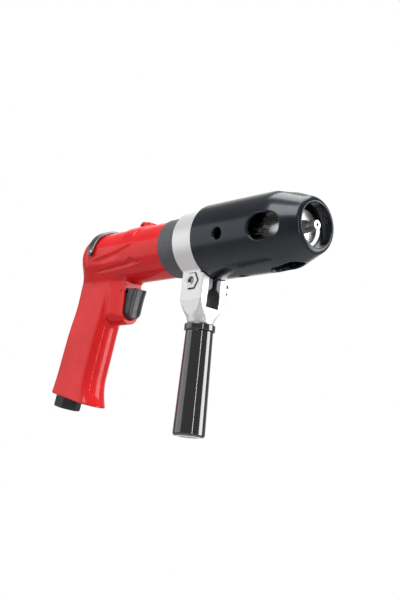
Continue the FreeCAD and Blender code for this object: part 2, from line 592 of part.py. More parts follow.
def make_chuck():
    tilt = S.jaw_tilt.value
    along = (-math.cos(math.radians(tilt)), 0, math.sin(math.radians(tilt)))
    groove_front = -S.nut_rear + S.nut_width + 0.1
    blank = turned("chuck_blank", [
        (-S.chuck_rear, S.spindle_thread_radius), (-S.chuck_rear, S.chuck_flange_radius - 1),
        (-S.chuck_rear + 1, S.chuck_flange_radius), (-S.chuck_rear + S.chuck_flange, S.chuck_flange_radius),
        (-S.chuck_rear + S.chuck_flange, S.chuck_radius), (-S.nut_rear - 0.1, S.chuck_radius),
        (-S.nut_rear - 0.1, S.nut_groove_radius), (groove_front, S.nut_groove_radius),
        (groove_front, S.chuck_radius), (-S.chuck_face - S.chuck_chamfer * 4, S.chuck_radius),
        (-S.chuck_face, S.chuck_radius - S.chuck_chamfer), (-S.chuck_face, S.chuck_bore_radius),
        (-S.chuck_face - S.chuck_bore_depth, S.chuck_bore_radius),
        (-S.chuck_face - S.chuck_bore_depth, S.spindle_thread_radius)])
    tools = []
    for index, angle in enumerate(JAW_ANGLES):
        bore = rod("jaw_bore_%d" % (index + 1), S.jaw_radius + 0.1, S.jaw_bore_length + 4,
                   jaw_line(-4), along)
        spun = grouped("jaw_bore_spun_%d" % (index + 1), [bore])
        spun.Placement = Placement(Vector(), Rotation(Vector(1, 0, 0), 90 - angle))
        tools.append(spun)
        tools.append(radial_rod("key_hole_%d" % (index + 1), S.key_hole_radius, -S.key_hole_middle,
                                S.key_hole_bottom, S.chuck_radius, angle - 60))
    keep("chuck_body", cut("chuck_drilled", blank, tools), S.window_turn.value)

    sleeve_blank = turned("sleeve_blank", [
        (-S.sleeve_rear, S.chuck_radius + S.sleeve_gap), (-S.sleeve_rear, S.sleeve_radius - 0.8),
        (-S.sleeve_rear + 0.8, S.sleeve_radius), (-S.sleeve_front - S.sleeve_cone, S.sleeve_radius),
        (-S.sleeve_front, S.sleeve_front_radius), (-S.sleeve_front, S.chuck_radius + S.sleeve_gap),
        (groove_front - 0.1, S.chuck_radius + S.sleeve_gap), (groove_front - 0.1, S.nut_radius),
        (-S.nut_rear, S.nut_radius), (-S.nut_rear, S.chuck_radius + S.sleeve_gap)])
    notch_rear = -S.sleeve_front - S.sleeve_cone + 1.5
    notch_front = -S.sleeve_front + 0.5
    notch = extruded("sleeve_notch", "XY_Plane", [
        (notch_rear, -0.25), (notch_front, -1.35), (notch_front, 1.35), (notch_rear, 0.25)],
        ZERO, S.sleeve_radius + 2)
    notches = []
    for tooth in range(int(S.sleeve_teeth.value)):
        copy = doc.addObject("Part::Compound", "sleeve_notch_%d" % tooth)
        copy.Links = [notch]
        copy.Placement = Placement(Vector(), Rotation(Vector(1, 0, 0), 360 / S.sleeve_teeth.value * tooth))
        notches.append(copy)
    keep("chuck_sleeve", cut("sleeve", sleeve_blank, [grouped("sleeve_notches", notches)]))

    slope = math.tan(math.radians(tilt))
    lift = S.jaw_radius / math.cos(math.radians(tilt)) - S.jaw_tip_drop + 0.12
    halves = []
    nut_front = -S.nut_rear + S.nut_width
    cone = turned("nut_blank", [
        (-S.nut_rear, lift + S.nut_rear * slope), (nut_front, lift - nut_front * slope),
        (nut_front, S.nut_radius), (-S.nut_rear, S.nut_radius)])
    for index, side in enumerate((-S.nut_radius - 1, ZERO + 0.05)):
        half = block("nut_side_%d" % index, (S.nut_width + 2, S.nut_radius + 0.95, S.nut_radius * 2 + 2),
                     (-S.nut_rear - 1, side, -S.nut_radius - 1))
        halves.append(overlap("nut_half_%d" % index, cone, half))
    keep("chuck_split_nut", grouped("nut_halves", halves))

    for index, angle in enumerate(JAW_ANGLES):
        label = "jaw_%d" % (index + 1)
        bar = rod(label + "_bar", S.jaw_radius, S.jaw_length + 4, jaw_line(-4), along)
        gap = S.jaw_gap / math.sin(math.radians(60))
        wide = S.chuck_radius + 4
        side = wide * math.sin(math.radians(60))
        wedge = extruded(label + "_wedge", "YZ_Plane", [
            (ZERO, gap), (side, gap + wide * 0.5), (side, wide + 6), (-side, wide + 6),
            (-side, gap + wide * 0.5)], -S.jaw_length - 4, S.jaw_length + 4)
        hole = rod(label + "_hole", S.jaw_hole, S.jaw_length + 8,
                   (-S.jaw_length - 4, ZERO, ZERO), (1, 0, 0))
        jaw = cut(label + "_ground", overlap(label + "_sector", bar, wedge), [hole])
        keep("chuck_jaw_%d" % (index + 1), jaw, S.window_turn.value + 90 - angle)

    screw_rear = -S.chuck_rear + S.spindle_thread_length
    head_radius = S.chuck_bore_radius - 0.2
    shank = rod("chuck_screw_shank", S.chuck_screw_radius - 0.02, S.chuck_screw_length,
                (screw_rear - S.chuck_screw_length, ZERO, ZERO), (1, 0, 0))
    head = rod("chuck_screw_head", head_radius, S.chuck_screw_head, (screw_rear, ZERO, ZERO), (1, 0, 0))
    slot = block("chuck_screw_slot", (S.chuck_screw_head, head_radius * 2 + 2, S.chuck_screw_slot),
                 (screw_rear + S.chuck_screw_head * 0.6, -head_radius - 1, -S.chuck_screw_slot / 2))
    keep("chuck_screw", cut("chuck_screw_slotted", joined("chuck_screw_blank", [shank, head]), [slot]))


# ---------------------------------------------------------------- air motor

def make_motor():
    """End plates, eccentric liner, slotted rotor and its vanes at rest in their slots."""
    bore = S.motor_bore_radius - 0.05
    seat = S.rotor_bearing_radius
    depth = S.rotor_bearing_width + 1
    rear_face = -S.motor_rear
    keep("rear_end_plate", turned("rear_plate", [
        (rear_face, seat), (rear_face + depth, seat), (rear_face + depth, S.rotor_shaft_radius + 0.5),
        (rear_face + S.plate_width, S.rotor_shaft_radius + 0.5), (rear_face + S.plate_width, bore),
        (rear_face, bore)]))
    front_face = -S.motor_front
    shaft_hole = S.rotor_shaft_radius + 0.5
    keep("front_end_plate", turned("front_plate", [
        (front_face, seat), (front_face, bore), (front_face - S.plate_width, bore),
        (front_face - S.plate_width, shaft_hole), (front_face - depth, shaft_hole),
        (front_face - depth, seat)]))
    liner_rear = -S.motor_rear + S.plate_width
    liner_length = S.motor_rear - S.motor_front - S.plate_width * 2
    tube = rod("liner_tube", bore, liner_length, (liner_rear, ZERO, ZERO), (1, 0, 0))
    hollow = rod("liner_hollow", S.liner_bore_radius, liner_length + 2,
                 (liner_rear - 1, ZERO, -S.liner_offset), (1, 0, 0))
    keep("motor_liner", cut("liner", tube, [hollow]))

    rotor_rear = liner_rear + 0.15
    rotor_length = liner_length - 0.3
    shaft = S.rotor_shaft_radius
    blank = turned("rotor_blank", [
        (rear_face + 0.6, ZERO), (rear_face + 0.6, shaft), (rotor_rear, shaft),
        (rotor_rear, S.rotor_radius),
        (rotor_rear + rotor_length, S.rotor_radius), (rotor_rear + rotor_length, shaft),
        (front_face + 2, shaft), (front_face + 2, shaft - 1),
        (-S.gear_rear + S.gear_width, shaft - 1), (-S.gear_rear + S.gear_width, ZERO)])
    slots = []
    vanes = []
    for index in range(int(S.vane_count.value)):
        around = Placement(Vector(), Rotation(Vector(1, 0, 0), 360 / S.vane_count.value * index))
        slot = block("vane_slot_%d" % index, (rotor_length + 2, S.vane_width, S.vane_depth + 2),
                     (rotor_rear - 1, -S.vane_width / 2, S.rotor_radius - S.vane_depth))
        vane = block("vane_%d" % index, (rotor_length - 0.2, S.vane_width - 0.1, S.vane_depth - 0.4),
                     (rotor_rear + 0.1, -S.vane_width / 2 + 0.05, S.rotor_radius - S.vane_depth + 0.1))
        for part, spun in ((slot, slots), (vane, vanes)):
            copy = grouped(part.Name + "_spun", [part])
            copy.Placement = around
            spun.append(copy)
    keep("motor_rotor", cut("rotor", blank, slots))
    keep("rotor_vanes", grouped("vane_set", vanes))


# ---------------------------------------------------------------- housing

def grip_place(down, forward):
    """(x, z) of a point of the raked grip: down along its axis, forward across it."""
    return (-S.grip_root - down * sine(S.grip_rake) + forward * cosine(S.grip_rake),
            -down * cosine(S.grip_rake) - forward * sine(S.grip_rake))


def rake_turn():
    """Turns +Z to point up the grip and +X to point across it, forward."""
    return Rotation(Vector(0, 1, 0), S.grip_rake.value)


def grip_section(body, name, down, rear, front, half, rear_radius, front_radius):
    """A rounded outline across the grip, at a distance down its axis, in the body's frame."""
    rear_bend = Bend(rear_radius, 1)
    front_bend = Bend(front_radius, 1)
    corners = [
        (-rear + rear_radius, -half), (front - front_radius, -half, front_bend),
        (front, -half + front_radius), (front, half - front_radius, front_bend),
        (front - front_radius, half), (-rear + rear_radius, half, rear_bend),
        (-rear, half - rear_radius), (-rear, -half + rear_radius, rear_bend)]
    sketch = outline(body, "XY_Plane", corners, -as_size(down))
    sketch.Label = name
    return sketch


def make_grip_solid():
    """The raked grip: a loft that flares into a toe at its foot."""
    body = doc.addObject("PartDesign::Body", "grip_loft")
    length = S.grip_length
    half = S.grip_half_width
    rear = S.grip_rear
    front = S.grip_front
    corner = S.grip_corner
    sections = [
        grip_section(body, "grip_top", S.grip_start, rear - 3, front - 3, half - 1.5, corner, corner),
        grip_section(body, "grip_waist", length * 0.36, rear - 1.4, front - 0.8, half - 0.6,
                     corner, corner),
        grip_section(body, "grip_palm", length * 0.8, rear, front + 1.2, half, corner, corner),
        grip_section(body, "grip_ankle", length * 0.92, rear, front + 5, half + 0.6, corner, corner),
        grip_section(body, "grip_foot", length, rear + 0.6, S.grip_toe, half + 1.4,
                     corner, S.grip_toe_corner),
    ]
    loft = body.newObject("PartDesign::AdditiveLoft", "grip_lofted")
    loft.Profile = sections[0]
    loft.Sections = sections[1:]
    loft.Ruled = True
    return put(body, (-S.grip_root, ZERO, ZERO), rake_turn())


def grip_rod(name, radius, down, length, forward, side=ZERO):
    """A bar up along the grip axis; its foot is a distance down the axis."""
    x, z = grip_place(down, forward)
    rake = math.radians(S.grip_rake.value)
    return rod(name, radius, length, (x, side, z), (math.sin(rake), 0, math.cos(rake)))


def make_housing():
    shoulder = -S.dome_end + S.dome_radius
    crown = S.barrel_radius - S.dome_radius
    barrel = turned("barrel", [
        (-S.case_rear, ZERO), (-S.case_rear, S.barrel_radius - 0.5), (-S.case_rear - 0.5, S.barrel_radius),
        (shoulder, S.barrel_radius, Bend(S.dome_radius, 1)), (-S.dome_end, crown), (-S.dome_end, ZERO)])
    grip = make_grip_solid()
    half = S.boss_half_width
    low = S.boss_bottom - half
    boss = extruded("boss", "YZ_Plane", [
        (-half, -low, Bend(half, 1)), (ZERO, -S.boss_bottom, Bend(half, 1)), (half, -low),
        (half, -S.barrel_radius + 8), (-half, -S.barrel_radius + 8)],
        -S.grip_root, S.grip_root - S.boss_front)
    eye = rod("eye", S.eye_radius, S.eye_half_width * 2,
              (-S.eye_middle, -S.eye_half_width, S.eye_height), (0, 1, 0))
    web = extruded("eye_web", "XZ_Plane", [
        (-S.eye_middle - S.eye_radius, S.barrel_radius - 3), (-S.eye_middle + 14, S.barrel_radius - 3),
        (-S.eye_middle + 11, S.eye_height + 0.4), (-S.eye_middle, S.eye_height + S.eye_radius),
        (-S.eye_middle - S.eye_radius, S.eye_height)], -S.eye_half_width + 0.5, S.eye_half_width * 2 - 1)
    solid = joined("housing_solid", [barrel, grip, boss, eye, web])

    reach = S.barrel_radius + 10
    spring_wall = S.throttle_end
    half = S.trigger_half_width + S.trigger_gap
    low = S.trigger_bottom + S.trigger_gap - half
    sweep = S.lever_slot_sweep
    slot = doc.addObject("Part::Cylinder", "lever_slot")
    bind(slot, Radius=reach, Height=S.lever_slot_width, Angle=sweep)
    slot_turn = Rotation(Vector(0, 0, 1), Vector(1, 0, 0))
    probe = slot_turn.multVec(Vector(1, 0, 0))
    start = math.degrees(math.atan2(probe.z, probe.y))
    put(slot, (-S.lever_pin_middle - S.lever_slot_width / 2, ZERO, ZERO),
        Rotation(Vector(1, 0, 0), 90 - sweep.value / 2 - start) * slot_turn)
    tools = [
        rod("motor_bore", S.motor_bore_radius, S.motor_rear - S.case_rear + 1,
            (-S.motor_rear, ZERO, ZERO), (1, 0, 0)),
        rod("valve_room", S.valve_room_radius, S.valve_room_rear - S.motor_rear + 1,
            (-S.valve_room_rear, ZERO, ZERO), (1, 0, 0)),
        slot,
        rod("eye_hole", S.eye_hole_radius, reach * 2, (-S.eye_middle, -reach, S.eye_height), (0, 1, 0)),
        extruded("trigger_pocket", "YZ_Plane", [
            (-half, -low, Bend(half, 1)), (ZERO, -low - half, Bend(half, 1)), (half, -low),
            (half, -S.trigger_top + S.trigger_gap), (-half, -S.trigger_top + S.trigger_gap)],
            -S.pocket_rear, S.pocket_rear - S.boss_front + 5),
        rod("throttle_bore", S.throttle_bore_radius, spring_wall - S.pocket_rear + 1,
            (-spring_wall, ZERO, -S.throttle_height), (1, 0, 0)),
        rod("supply_bore", S.air_bore_radius, S.throttle_height,
            (-S.supply_middle, ZERO, -S.throttle_height), (0, 0, 1)),
        rod("roll_pin_hole", S.roll_pin_radius, S.boss_half_width * 2 + 2,
            (-S.roll_pin_middle, -S.boss_half_width - 1, -S.roll_pin_height), (0, 1, 0)),
        grip_rod("air_bore", S.air_bore_radius, S.grip_length, S.grip_length - 50, -S.inlet_setback),
        grip_rod("inlet_seat", S.inlet_shank_radius, S.grip_length + 1, S.inlet_shank_length + 1,
                 -S.inlet_setback),
    ]
    x, z = grip_place(S.grip_length + 1, S.exhaust_set - S.exhaust_length / 2)
    tools.append(block("exhaust_room", (S.exhaust_length, S.exhaust_width, S.exhaust_room + 1),
                       (x, -S.exhaust_width / 2, z), rake_turn()))
    for name, side in (("right", -1), ("left", 1)):
        tools.append(grip_rod("exhaust_port_" + name, S.exhaust_port_radius,
                              S.grip_length - 10, S.grip_length - 30, S.exhaust_port_set,
                              S.exhaust_port_side * side))
    keep("housing", cut("housing_cut", solid, tools))


# ---------------------------------------------------------------- reversing lever

def make_lever():
    """A sprung steel band round the rear shoulder, keyed by a pin to the reverse valve inside."""
    band = doc.addObject("Part::Cylinder", "band")
    bind(band, Radius=S.band_radius, Height=S.band_width, Angle=S.band_sweep)
    level = Rotation(Vector(0, 0, 1), Vector(1, 0, 0))
    probe = level.multVec(Vector(1, 0, 0))
    start = math.degrees(math.atan2(probe.z, probe.y))
    first = 180 - S.band_low_angle.value - S.band_sweep.value
    rear = -S.band_front - S.band_width
    put(band, (rear, ZERO, ZERO), Rotation(Vector(1, 0, 0), first - start) * level)
    knob = radial_rod("knob", S.knob_radius, rear + S.band_width / 2, S.band_bore_radius - 1,
                      S.band_radius - S.band_bore_radius + 1 + S.knob_height, S.band_low_angle.value + 4)
    hollow = rod("band_bore", S.band_bore_radius, S.band_width + 2, (rear - 1, ZERO, ZERO), (1, 0, 0))
    pin_hole = rod("band_pin_hole", S.lever_pin_radius, S.band_radius,
                   (-S.lever_pin_middle, ZERO, ZERO), (0, 0, 1))
    keep("reverse_lever", cut("band_cut", joined("band_and_knob", [band, knob]), [hollow, pin_hole]))
    pin_foot = (-S.lever_pin_middle, ZERO, S.lever_pin_foot)
    keep("reverse_pin", rod("reverse_pin_bar", S.lever_pin_radius, S.band_radius - S.lever_pin_foot - 0.4,
                            pin_foot, (0, 0, 1)))
    disc = rod("reverse_disc", S.valve_room_radius - 0.3, S.valve_disc_width,
               (-S.lever_pin_middle - S.valve_disc_width / 2, ZERO, ZERO), (1, 0, 0))
    pin_seat = rod("reverse_disc_hole", S.lever_pin_radius, S.valve_room_radius, pin_foot, (0, 0, 1))
    ports = [rod("reverse_port_" + name, S.reverse_port_radius, S.valve_disc_width + 2,
                 (-S.lever_pin_middle - S.valve_disc_width / 2 - 1, S.reverse_port_set * side, ZERO),
                 (1, 0, 0))
             for name, side in (("right", -1), ("left", 1))]
    keep("reverse_valve", cut("reverse_disc_cut", disc, [pin_seat] + ports))


# ---------------------------------------------------------------- trigger and throttle

def make_trigger():
    half = S.trigger_half_width
    low = S.trigger_bottom - half
    bar = extruded("trigger_bar", "YZ_Plane", [
        (-half, -low, Bend(half, 1)), (ZERO, -S.trigger_bottom, Bend(half, 1)), (half, -low),
        (half, -S.trigger_top), (-half, -S.trigger_top)],
        -S.trigger_rear, S.trigger_rear - S.trigger_nose + 4)
    side = extruded("trigger_side", "XZ_Plane", [
        (-S.trigger_rear - 1, -S.trigger_bottom - 1), (-S.trigger_foot, -S.trigger_bottom - 1),
        (-S.trigger_foot, -S.trigger_bottom + 3, Bend(S.trigger_curl, 1)),
        (-S.trigger_nose, -S.trigger_top - 3), (-S.trigger_nose - 2, -S.trigger_top + 1),
        (-S.trigger_rear - 1, -S.trigger_top + 1)], -half - 1, half * 2 + 2)
    pin_slot = block("trigger_pin_slot", (S.trigger_travel + S.roll_pin_radius * 2 + 0.4, half * 2 + 4,
                                          S.roll_pin_radius * 2 + 0.4),
                     (-S.roll_pin_middle - S.roll_pin_radius - 0.2, -half - 2,
                      -S.roll_pin_height - S.roll_pin_radius - 0.2))
    stem_hole = rod("trigger_stem_hole", S.stem_radius, 8,
                    (-S.trigger_rear - 1, ZERO, -S.throttle_height), (1, 0, 0))
    keep("trigger", cut("trigger_cut", overlap("trigger_blank", bar, side), [pin_slot, stem_hole]))
    pin_end = -S.boss_half_width + 0.3
    pin = rod("roll_pin_bar", S.roll_pin_radius - 0.02, S.boss_half_width * 2 - 0.6,
              (-S.roll_pin_middle, pin_end, -S.roll_pin_height), (0, 1, 0))
    pin_bore = rod("roll_pin_bore", S.roll_pin_radius / 2, S.boss_half_width * 2 + 2,
                   (-S.roll_pin_middle, pin_end - 1, -S.roll_pin_height), (0, 1, 0))
    keep("roll_pin", cut("roll_pin_tube", pin, [pin_bore]))


def level_tube(name, rear, length, inner, outer):
    """A ring about the throttle axis, which runs along X under the barrel."""
    tube = ring(name, rear, length, inner, outer)
    return put(tube, (ZERO, ZERO, -S.throttle_height))


def make_throttle():
    """Stem and poppet that the trigger pushes off their seat, against a spring."""
    bore = S.throttle_bore_radius - 0.05
    bushing_rear = S.pocket_rear + S.bushing_length + 0.5
    stem_bore = S.stem_radius + 0.06
    keep("throttle_bushing", level_tube("bushing", bushing_rear, S.bushing_length, stem_bore, bore))
    keep("throttle_seat", level_tube("seat", S.stem_end, S.seat_width, S.seat_bore_radius, bore))
    stem = rod("stem_bar", S.stem_radius, S.stem_end - S.trigger_rear + 6.5,
               (-S.stem_end - 0.5, ZERO, -S.throttle_height), (1, 0, 0))
    keep("throttle_stem", stem)
    head_rear = S.stem_end + S.valve_width + 0.5
    poppet = level_tube("poppet", head_rear, S.valve_width, S.spring_wire, S.valve_radius)
    keep("throttle_valve", poppet)
    keep("throttle_spring_seat", level_tube("spring_seat", S.throttle_end, S.spring_cap,
                                            S.spring_cap_bore, bore - 1))
    helix = doc.addObject("Part::Helix", "spring_line")
    length = S.throttle_end - S.spring_cap - head_rear - S.spring_wire * 2
    bind(helix, Height=length, Pitch=length / S.spring_turns, Radius=S.spring_radius)
    wire = doc.addObject("Part::Circle", "spring_section")
    bind(wire, Radius=S.spring_wire)
    put(wire, (S.spring_radius, ZERO, ZERO), Rotation(Vector(0, 0, 1), Vector(0, 1, 0)))
    coil = doc.addObject("Part::Sweep", "spring_coil")
    coil.Sections = [wire]
    coil.Spine = (helix, ["Edge1"])
    coil.Solid = True
    coil.Frenet = True
    put(coil, (-S.throttle_end + S.spring_cap + S.spring_wire, ZERO, -S.throttle_height),
        Rotation(Vector(0, 0, 1), Vector(1, 0, 0)))
    keep("throttle_spring", coil)


# ---------------------------------------------------------------- foot of the grip

def grip_body(body, down, forward, side=ZERO):
    """Places a body that was made upright on the grip axis."""
    x, z = grip_place(down, forward)
    return put(body, (x, side, z), rake_turn())


def make_foot():
    shank = S.inlet_shank_radius - 0.05
    hexed = extruded("inlet_hex_bar", "XY_Plane", hexagon(S.inlet_hex), -S.inlet_drop, S.inlet_drop)
    rim = S.inlet_hex / 2 + 2
    foot = -S.inlet_drop
    top = S.inlet_shank_length - 0.5
    seat = -0.02
    neck = turned("inlet_neck", [
        (ZERO, foot), (rim - 1.1, foot), (rim, foot + 1.2), (rim, seat), (shank, seat), (shank, top),
        (ZERO, top)], "V_Axis")
    straight = rod("inlet_shank", shank, S.inlet_shank_length, (ZERO, ZERO, ZERO), (0, 0, 1))
    head = overlap("inlet_head", joined("inlet_hex_long", [hexed, straight]), neck)
    bore = joined("inlet_bores", [
        rod("inlet_bore", S.inlet_bore_radius, S.inlet_bore_depth, (ZERO, ZERO, foot), (0, 0, 1)),
        rod("inlet_throat", S.air_bore_radius, S.inlet_shank_length + S.inlet_drop,
            (ZERO, ZERO, foot), (0, 0, 1))])
    keep("inlet_bushing", grip_body(cut("inlet", head, [bore]), S.grip_length, -S.inlet_setback))
    screen_foot = foot + S.inlet_bore_depth + 0.1
    screen_top = screen_foot + S.screen_thick
    screen_rim = S.air_bore_radius - 0.05
    disc = turned("screen_disc", [
        (ZERO, screen_foot), (screen_rim, screen_foot), (screen_rim, screen_top),
        (ZERO, screen_top)], "V_Axis")
    keep("inlet_screen", grip_body(disc, S.grip_length, -S.inlet_setback))

    half = S.exhaust_width / 2 - 0.1
    reach = S.exhaust_length / 2 - 0.1
    oblong = [(-reach, -half), (reach, -half), (reach, half), (-reach, half)]
    felt = extruded("muffler_felt", "XY_Plane", oblong, S.cover_width + 0.2,
                    S.exhaust_room - S.cover_width - 6)
    keep("exhaust_muffler", grip_body(felt, S.grip_length, S.exhaust_set))
    plate = extruded("cover_plate", "XY_Plane", oblong, 0.1, S.cover_width)
    slots = [block("cover_slot_%d" % (k + 1), (S.cover_slot, half * 2 - 4, S.cover_width + 2),
                   (S.cover_slot_pitch * (k - 2) - S.cover_slot / 2, -half + 2, -1))
             for k in range(5)]
    keep("exhaust_cover", grip_body(cut("cover", plate, slots), S.grip_length, S.exhaust_set))


# ---------------------------------------------------------------- clamp and side handle

def make_clamp():
    band = ring("clamp_band", S.clamp_rear, S.clamp_rear - S.clamp_front, S.clamp_bore_radius - 2,
                S.clamp_radius)
    depth = S.yoke_rear - S.yoke_front
    half = S.yoke_half_width
    cheek = extruded("clamp_cheek", "XZ_Plane", [
        (-S.yoke_rear, -S.yoke_shoulder), (-S.yoke_front, -S.yoke_shoulder),
        (-S.yoke_front, -S.clamp_radius - 4),
        (-S.clamp_front, -S.clamp_radius + 4), (-S.clamp_rear + 2.2, -S.clamp_radius + 6)],
        -half, half * 2)
    foot = doc.addObject("PartDesign::Body", "clamp_foot")
    square = outline(foot, "XY_Plane", [
        (-S.yoke_rear, -half), (-S.yoke_front, -half), (-S.yoke_front, half), (-S.yoke_rear, half)],
        -S.yoke_shoulder)
    small = S.yoke_end_radius * 0.92
    end = outline(foot, "XY_Plane", [
        (-S.handle_set - small, -small), (-S.handle_set + small, -small),
        (-S.handle_set + small, small), (-S.handle_set - small, small)], -S.yoke_bottom)
    loft = foot.newObject("PartDesign::AdditiveLoft", "clamp_foot_loft")
    loft.Profile = square
    loft.Sections = [end]
    round_bar = turned("clamp_round", [
        (ZERO, -S.clamp_radius), (depth / 2 + 6, -S.clamp_radius), (depth / 2 + 6, -S.yoke_shoulder - 2),
        (S.yoke_end_radius + 0.6, -S.yoke_bottom + 4), (S.yoke_end_radius, -S.yoke_bottom + 0.8),
        (S.yoke_end_radius - 0.8, -S.yoke_bottom), (ZERO, -S.yoke_bottom)], "V_Axis")
    put(round_bar, (-S.handle_set, ZERO, ZERO))
    blank = joined("clamp_blank", [band, cheek, overlap("clamp_foot_round", foot, round_bar)])
    bulb = S.slit_bulb_width / 2
    tools = [
        rod("clamp_bore", S.clamp_bore_radius, S.guard_radius * 2,
            (-S.clamp_rear - 10, ZERO, ZERO), (1, 0, 0)),
        rod("clamp_guard_room", S.guard_radius + 0.6, S.guard_radius,
            (-S.clamp_front, ZERO, ZERO), (1, 0, 0)),
        block("clamp_slit", (depth + 20, S.slit_width, S.slit_bulb_top),
              (-S.yoke_rear - 10, -S.slit_width / 2, -S.slit_bulb_top - 1)),
        extruded("clamp_bulb", "YZ_Plane", [
            (-bulb, -S.slit_bulb_bottom), (bulb, -S.slit_bulb_bottom),
            (bulb, -S.slit_bulb_top - 3, Bend(bulb, 1)),
            (ZERO, -S.slit_bulb_top - 3 + bulb, Bend(bulb, 1)), (-bulb, -S.slit_bulb_top - 3)],
            -S.yoke_rear - 10, depth + 20),
        rod("clamp_bolt_hole", S.clamp_bolt_radius + 0.15, half * 2 + 2,
            (-S.clamp_bolt_set, -half - 1, -S.clamp_bolt_drop), (0, 1, 0)),
        nut_bar("clamp_nut_recess", S.nut_across + 0.7, half - S.nut_recess, S.nut_recess + 1),
        rod("clamp_stud_hole", S.stud_radius, S.yoke_bottom - S.stud_top + 1,
            (-S.handle_set, ZERO, -S.yoke_bottom - 1), (0, 0, 1)),
    ]
    keep("clamp_casting", cut("clamp_cut", blank, tools))

    nut = nut_bar("clamp_nut_bar", S.nut_across, half - S.nut_recess + 0.1, S.nut_thick)
    nut_hole = rod("clamp_nut_hole", S.clamp_bolt_radius, half * 2,
                   (-S.clamp_bolt_set, -half * 2, -S.clamp_bolt_drop), (0, 1, 0))
    keep("clamp_nut", cut("clamp_nut_cut", nut, [nut_hole]))
    head_seat = half + S.washer_thick
    shank = rod("clamp_bolt_bar", S.clamp_bolt_radius, half * 2 + S.washer_thick - 0.6,
                (-S.clamp_bolt_set, -half + 0.6, -S.clamp_bolt_drop), (0, 1, 0))
    head = rod("clamp_bolt_head", S.bolt_head_radius, S.bolt_head_height,
               (-S.clamp_bolt_set, head_seat, -S.clamp_bolt_drop), (0, 1, 0))
    socket = extruded("clamp_bolt_socket", "XZ_Plane",
                      hexagon(S.bolt_head_radius, -S.clamp_bolt_set, -S.clamp_bolt_drop),
                      -head_seat - S.bolt_head_height - 1, S.bolt_head_height * 0.6 + 1)
    keep("clamp_bolt", cut("clamp_bolt_cut", joined("clamp_bolt_blank", [shank, head]), [socket]))
    disc = rod("clamp_washer_disc", S.washer_radius, S.washer_thick,
               (-S.clamp_bolt_set, half, -S.clamp_bolt_drop), (0, 1, 0))
    eye = rod("clamp_washer_eye", S.clamp_bolt_radius + 0.2, S.washer_thick + 2,
              (-S.clamp_bolt_set, half - 1, -S.clamp_bolt_drop), (0, 1, 0))
    keep("clamp_washer", cut("clamp_washer_cut", disc, [eye]))


def nut_bar(name, across, start, length):
    """A hexagonal bar pointing to -Y on the clamp bolt's axis."""
    return extruded(name, "XZ_Plane", hexagon(across, -S.clamp_bolt_set, -S.clamp_bolt_drop), start, length)


def make_handle():
    stud = S.stud_radius
    rim = S.collar_radius
    collar = turned("collar", [
        (stud, -S.collar_bottom), (rim - 0.8, -S.collar_bottom), (rim, -S.collar_bottom + 0.8),
        (rim, -S.yoke_bottom - 0.8), (rim - 0.8, -S.yoke_bottom), (stud, -S.yoke_bottom)], "V_Axis")
    keep("handle_collar", put(collar, (-S.handle_set, ZERO, ZERO)))
    edge = S.handle_edge
    bottom = S.handle_bottom_radius
    depth = -S.yoke_bottom - S.stud_length
    grip = turned("side_grip", [
        (ZERO, -S.handle_bottom), (bottom - edge, -S.handle_bottom, Bend(edge, 1)),
        (bottom, -S.handle_bottom + edge), (S.handle_top_radius, -S.collar_bottom - 0.6),
        (S.handle_top_radius - 0.6, -S.collar_bottom), (stud, -S.collar_bottom), (stud, depth),
        (ZERO, depth)], "V_Axis")
    keep("side_handle", put(grip, (-S.handle_set, ZERO, ZERO)))
    pin = rod("handle_stud_bar", stud, S.stud_length + S.yoke_bottom - S.stud_top - 0.6,
              (-S.handle_set, ZERO, depth + 0.3), (0, 0, 1))
    keep("handle_stud", pin)


def check(things):
    """Stops with a message if any object failed or any sub-part isn't a valid solid."""
    for thing in doc.Objects:
        if "Invalid" in thing.State or "Error" in thing.State:
            raise RuntimeError("%s failed: %s" % (thing.Name, thing.State))
    for name, thing in things.items():
        if thing.Shape.isNull() or not thing.Shape.isValid() or not thing.Shape.Solids:
            raise RuntimeError("%s has no valid solid" % name)


def write(things):
    os.makedirs("parts", exist_ok=True)
    for name, thing in things.items():
        thing.Shape.exportStep(os.path.join("parts", name + ".step"))


make_guard()
make_guard_screws()
make_gear_case()
make_bearings()
make_gears()
make_chuck()
make_motor()
make_housing()
make_lever()
make_trigger()
make_throttle()
make_foot()
make_clamp()
make_handle()
doc.recompute()
check(PIECES)
write(PIECES)
print("%d sub-parts, %d solids" % (len(PIECES), sum(len(p.Shape.Solids) for p in PIECES.values())))
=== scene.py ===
import json
import math

import bmesh
import bpy
import numpy as np

